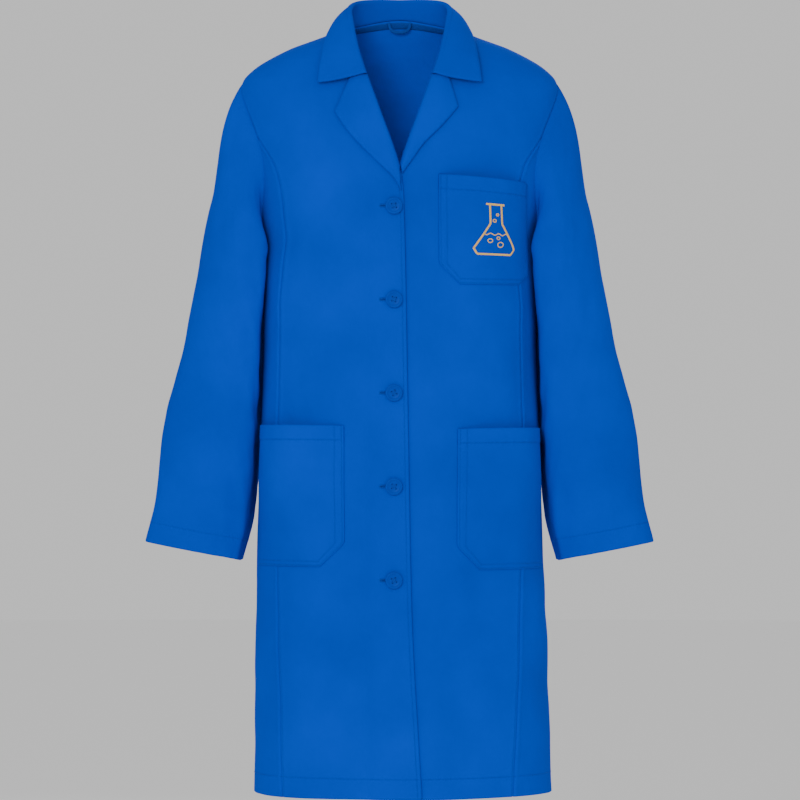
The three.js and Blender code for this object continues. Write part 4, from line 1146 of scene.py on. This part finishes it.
# ---- stitches ----------------------------------------------------------------------------------------
def stitch_tree(name, material):
    """Lays one short strand of thread at every pitch along each line, in the direction `lay`."""
    tree = bpy.data.node_groups.new(name, "GeometryNodeTree")
    face = tree.interface
    face.new_socket("Geometry", in_out="INPUT", socket_type="NodeSocketGeometry")
    for socket in ("Pitch", "Stitch Length", "Thread Radius"):
        face.new_socket(socket, in_out="INPUT", socket_type="NodeSocketFloat")
    face.new_socket("Geometry", in_out="OUTPUT", socket_type="NodeSocketGeometry")
    given = add(tree, "NodeGroupInput").outputs
    lines = add(tree, "GeometryNodeMeshToCurve", {"Mesh": given["Geometry"]}).outputs["Curve"]
    spots = add(tree, "GeometryNodeResampleCurve", {"Curve": lines, "Length": given["Pitch"]}, mode="LENGTH")
    thread = add(tree, "GeometryNodeMeshCylinder", {
        "Vertices": 6, "Radius": given["Thread Radius"], "Depth": given["Stitch Length"],
    })
    lay = add(tree, "GeometryNodeInputNamedAttribute", {"Name": "lay"}, data_type="FLOAT_VECTOR")
    turned = add(tree, "FunctionNodeAlignRotationToVector", {"Vector": lay.outputs["Attribute"]}, axis="Z")
    reach = add(tree, "GeometryNodeInputNamedAttribute", {"Name": "reach"}, data_type="FLOAT")
    stretch = add(tree, "ShaderNodeCombineXYZ", {"X": 1.0, "Y": 1.0, "Z": reach.outputs["Attribute"]})
    laid = add(tree, "GeometryNodeInstanceOnPoints", {
        "Points": spots.outputs["Curve"], "Instance": thread.outputs["Mesh"],
        "Rotation": turned.outputs["Rotation"], "Scale": stretch.outputs["Vector"],
    })
    solid = add(tree, "GeometryNodeRealizeInstances", {"Geometry": laid.outputs["Instances"]})
    dyed = add(tree, "GeometryNodeSetMaterial", {"Geometry": solid.outputs["Geometry"], "Material": material})
    add(tree, "NodeGroupOutput", {"Geometry": dyed.outputs["Geometry"]})
    return tree


def lay_stitches(name, lines, tree, pitch, length, radius):
    """lines is a list of (points, lay directions, share of the length), in millimetres. Returns
    the stitches as one mesh."""
    points, lays, reaches, edges = [], [], [], []
    for line, lay, reach in lines:
        first = len(points)
        reaches.extend([reach] * len(line))
        points.extend((line * MM).tolist())
        lays.extend(np.asarray(lay, float).tolist())
        edges.extend((first + i, first + i + 1) for i in range(len(line) - 1))
    mesh = bpy.data.meshes.new(name)
    mesh.from_pydata(points, edges, [])
    lay_values = mesh.attributes.new("lay", "FLOAT_VECTOR", "POINT").data
    lay_values.foreach_set("vector", np.ravel(lays).astype(np.float32))
    reach_values = mesh.attributes.new("reach", "FLOAT", "POINT").data
    reach_values.foreach_set("value", np.array(reaches, np.float32))
    piece = put_in_scene(name, mesh)
    modifier = piece.modifiers.new("stitches", "NODES")
    modifier.node_group = tree
    sizes = {"Pitch": pitch, "Stitch Length": length, "Thread Radius": radius}
    for item in tree.interface.items_tree:
        if item.item_type == "SOCKET" and item.in_out == "INPUT" and item.name in sizes:
            modifier[item.identifier] = sizes[item.name] * MM
    depsgraph = bpy.context.evaluated_depsgraph_get()
    sewn = bpy.data.meshes.new_from_object(piece.evaluated_get(depsgraph))
    piece.modifiers.clear()
    piece.data = sewn
    bpy.data.meshes.remove(mesh)
    smooth(sewn)
    return piece


def tangents(line):
    return unit(np.gradient(line, axis=0))


# ---- neck tape and hanging ribbon -------------------------------------------------------------------
def neck_tape_cloth():
    """Woven tape that covers the back neck seam inside."""
    angle = np.linspace(112, 248, 60)[None, :]
    down = np.linspace(10, 2, 4)[:, None]
    z = neck_seam_z(np.where(angle > 180, 360 - angle, angle)) - down
    face = cloth_face(angle + 0 * down, z, -BEHIND_FRONT)
    face = face[:, ::-1]
    piece = sew("neck_tape_cloth", face, [neck_tape_cotton], 0.6)
    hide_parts("neck_tape")
    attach(piece, "coat_body")


def hanging_ribbon():
    """The ribbon loop at the back neck, which hangs down inside."""
    low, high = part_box("hanging_loop")
    y = (low[1] + high[1]) / 2 / MM
    arch = through([
        (-14, 0, -3), (-12, 0, -10.8), (-5.6, 0, -15), (5.6, 0, -15), (12, 0, -10.8), (14, 0, -3),
    ])
    t = np.linspace(0, 1, 50)
    middle = arch(t)
    out = unit(np.gradient(middle, axis=0))[:, [2, 1, 0]] * [1, 0, -1]
    face = np.stack([middle + out * w for w in (-1.6, -0.8, 0, 0.8, 1.6)])
    face[..., 1] = y
    piece = sew("hanging_ribbon", face, [neck_tape_cotton], 0.8)
    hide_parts("hanging_loop")
    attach(piece, "loop")


# ---- making the coat ------------------------------------------------------------------------------------
hanging_ribbon()
neck_tape_cloth()
front_pieces = {1: [], -1: []}
for label, side in SIDES.items():
    front_pieces[side] += [front_cloth(label, side), side_front_cloth(label, side), facing_cloth(label, side)]
    side_back_cloth(label, side)
back_cloth()
sleeves = {side: sleeve_cloth(label, side) for label, side in SIDES.items()}
for label, side in SIDES.items():
    front_pieces[side].append(lapel_cloth(label, side))
collar_cloth()

POCKET_HEIGHT = 180.0
LOWER_POCKETS = {1: (74.0, -534.0), -1: (71.0, -530.0)}  # inner edge, and top
for label, side in SIDES.items():
    inner_x, top = LOWER_POCKETS[side]
    lower = pocket_surface(side, inner_x, lambda z: half_width(z) * math.sin(math.radians(80)), top,
                           top - POCKET_HEIGHT, 30.0, 0.0, 0.0)
    front_pieces[side].append(pocket_cloth(f"{label}_lower_pocket_cloth", side, lower, POCKET_HEIGHT,
                                           f"{label}_front", f"{label}_lower_pocket"))
CHEST_TOP, CHEST_BOTTOM = -209.0, -349.0
chest = pocket_surface(1, 51.0, lambda z: 164.0 + 0 * z, CHEST_TOP, CHEST_BOTTOM, 26.0, 13.0, 10.0)
front_pieces[1].append(pocket_cloth("chest_pocket_cloth", 1, chest, CHEST_TOP - CHEST_BOTTOM, "left_front",
                                    "chest_pocket"))
embroider_flask(chest)
sew_on_buttons()

blue_stitches = stitch_tree("blue_stitches", blue_thread)
gold_stitches = stitch_tree("gold_stitches", gold_thread)
PITCH, STITCH, THREAD = 3.2, 2.5, 0.26
for group, lines in stitch_lines.items():
    laid = [(line, tangents(line), 1.0) for line in lines]
    piece = lay_stitches(f"topstitching_{group}", laid, blue_stitches, PITCH, STITCH, THREAD)
    side = 1 if group.startswith("left") else -1
    if group == "coat_body":
        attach(piece, group)
    else:
        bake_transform(piece)
satin = lay_stitches("buttonhole_satin", satin_lines["right_front"], blue_stitches, 0.5, 1.7, 0.24)
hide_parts(*[f"buttonhole_stitching_{i + 1}" for i in range(BUTTON_COUNT)])
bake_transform(satin)
flask = lay_stitches("flask_embroidery", satin_lines["chest_emblem"], gold_stitches, 0.5, 2.6, 0.3)
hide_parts("chest_emblem")
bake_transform(flask)
for side, pieces in front_pieces.items():
    for piece in pieces:
        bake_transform(piece)
for side, piece in sleeves.items():
    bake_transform(piece)

# ---- studio ------------------------------------------------------------------------------------------------
FLOOR_Z = -1.45  # as worn, the neck seam is 1.45 m above the floor
bm = bmesh.new()
bmesh.ops.create_circle(bm, cap_ends=True, segments=96, radius=14.0)
floor_mesh = to_mesh(bm, "studio_floor")
floor_mesh.transform(Matrix.Translation((0, 0, FLOOR_Z)))
floor_mesh.materials.append(paper)
floor = put_in_scene("studio_floor", floor_mesh)


def softbox(name, place, aim, width, power):
    data = bpy.data.lights.new(name, "AREA")
    data.shape, data.size, data.size_y, data.energy = "RECTANGLE", width, width, power
    lamp = put_in_scene(name, data)
    lamp.location = place
    lamp.rotation_euler = (Vector(aim) - Vector(place)).to_track_quat("-Z", "Y").to_euler()


CHEST = (0, -0.05, -0.45)
softbox("key_softbox", (-1.1, -4.4, 0.7), CHEST, 1.3, 78)
softbox("fill_softbox", (1.9, -3.4, 0.2), CHEST, 2.4, 8)
softbox("back_softbox", (0.6, 3.4, 1.4), CHEST, 2.6, 60)
world = bpy.data.worlds.new("studio_air")
bpy.context.scene.world = world
world.use_nodes = True
world.node_tree.nodes["Background"].inputs["Color"].default_value = (1, 1, 1, 1)
world.node_tree.nodes["Background"].inputs["Strength"].default_value = 0.7

camera_data = bpy.data.cameras.new("studio_camera")
camera_data.sensor_width = 36
camera_data.lens = camera_data.sensor_width * 6.0 / 1.040  # a 1.04 m wide field, 6 m away
camera = put_in_scene("studio_camera", camera_data)
camera.location = (0.0006, -6.05, -0.497)
camera.rotation_euler = (math.pi / 2, 0, 0)
bpy.context.scene.camera = camera
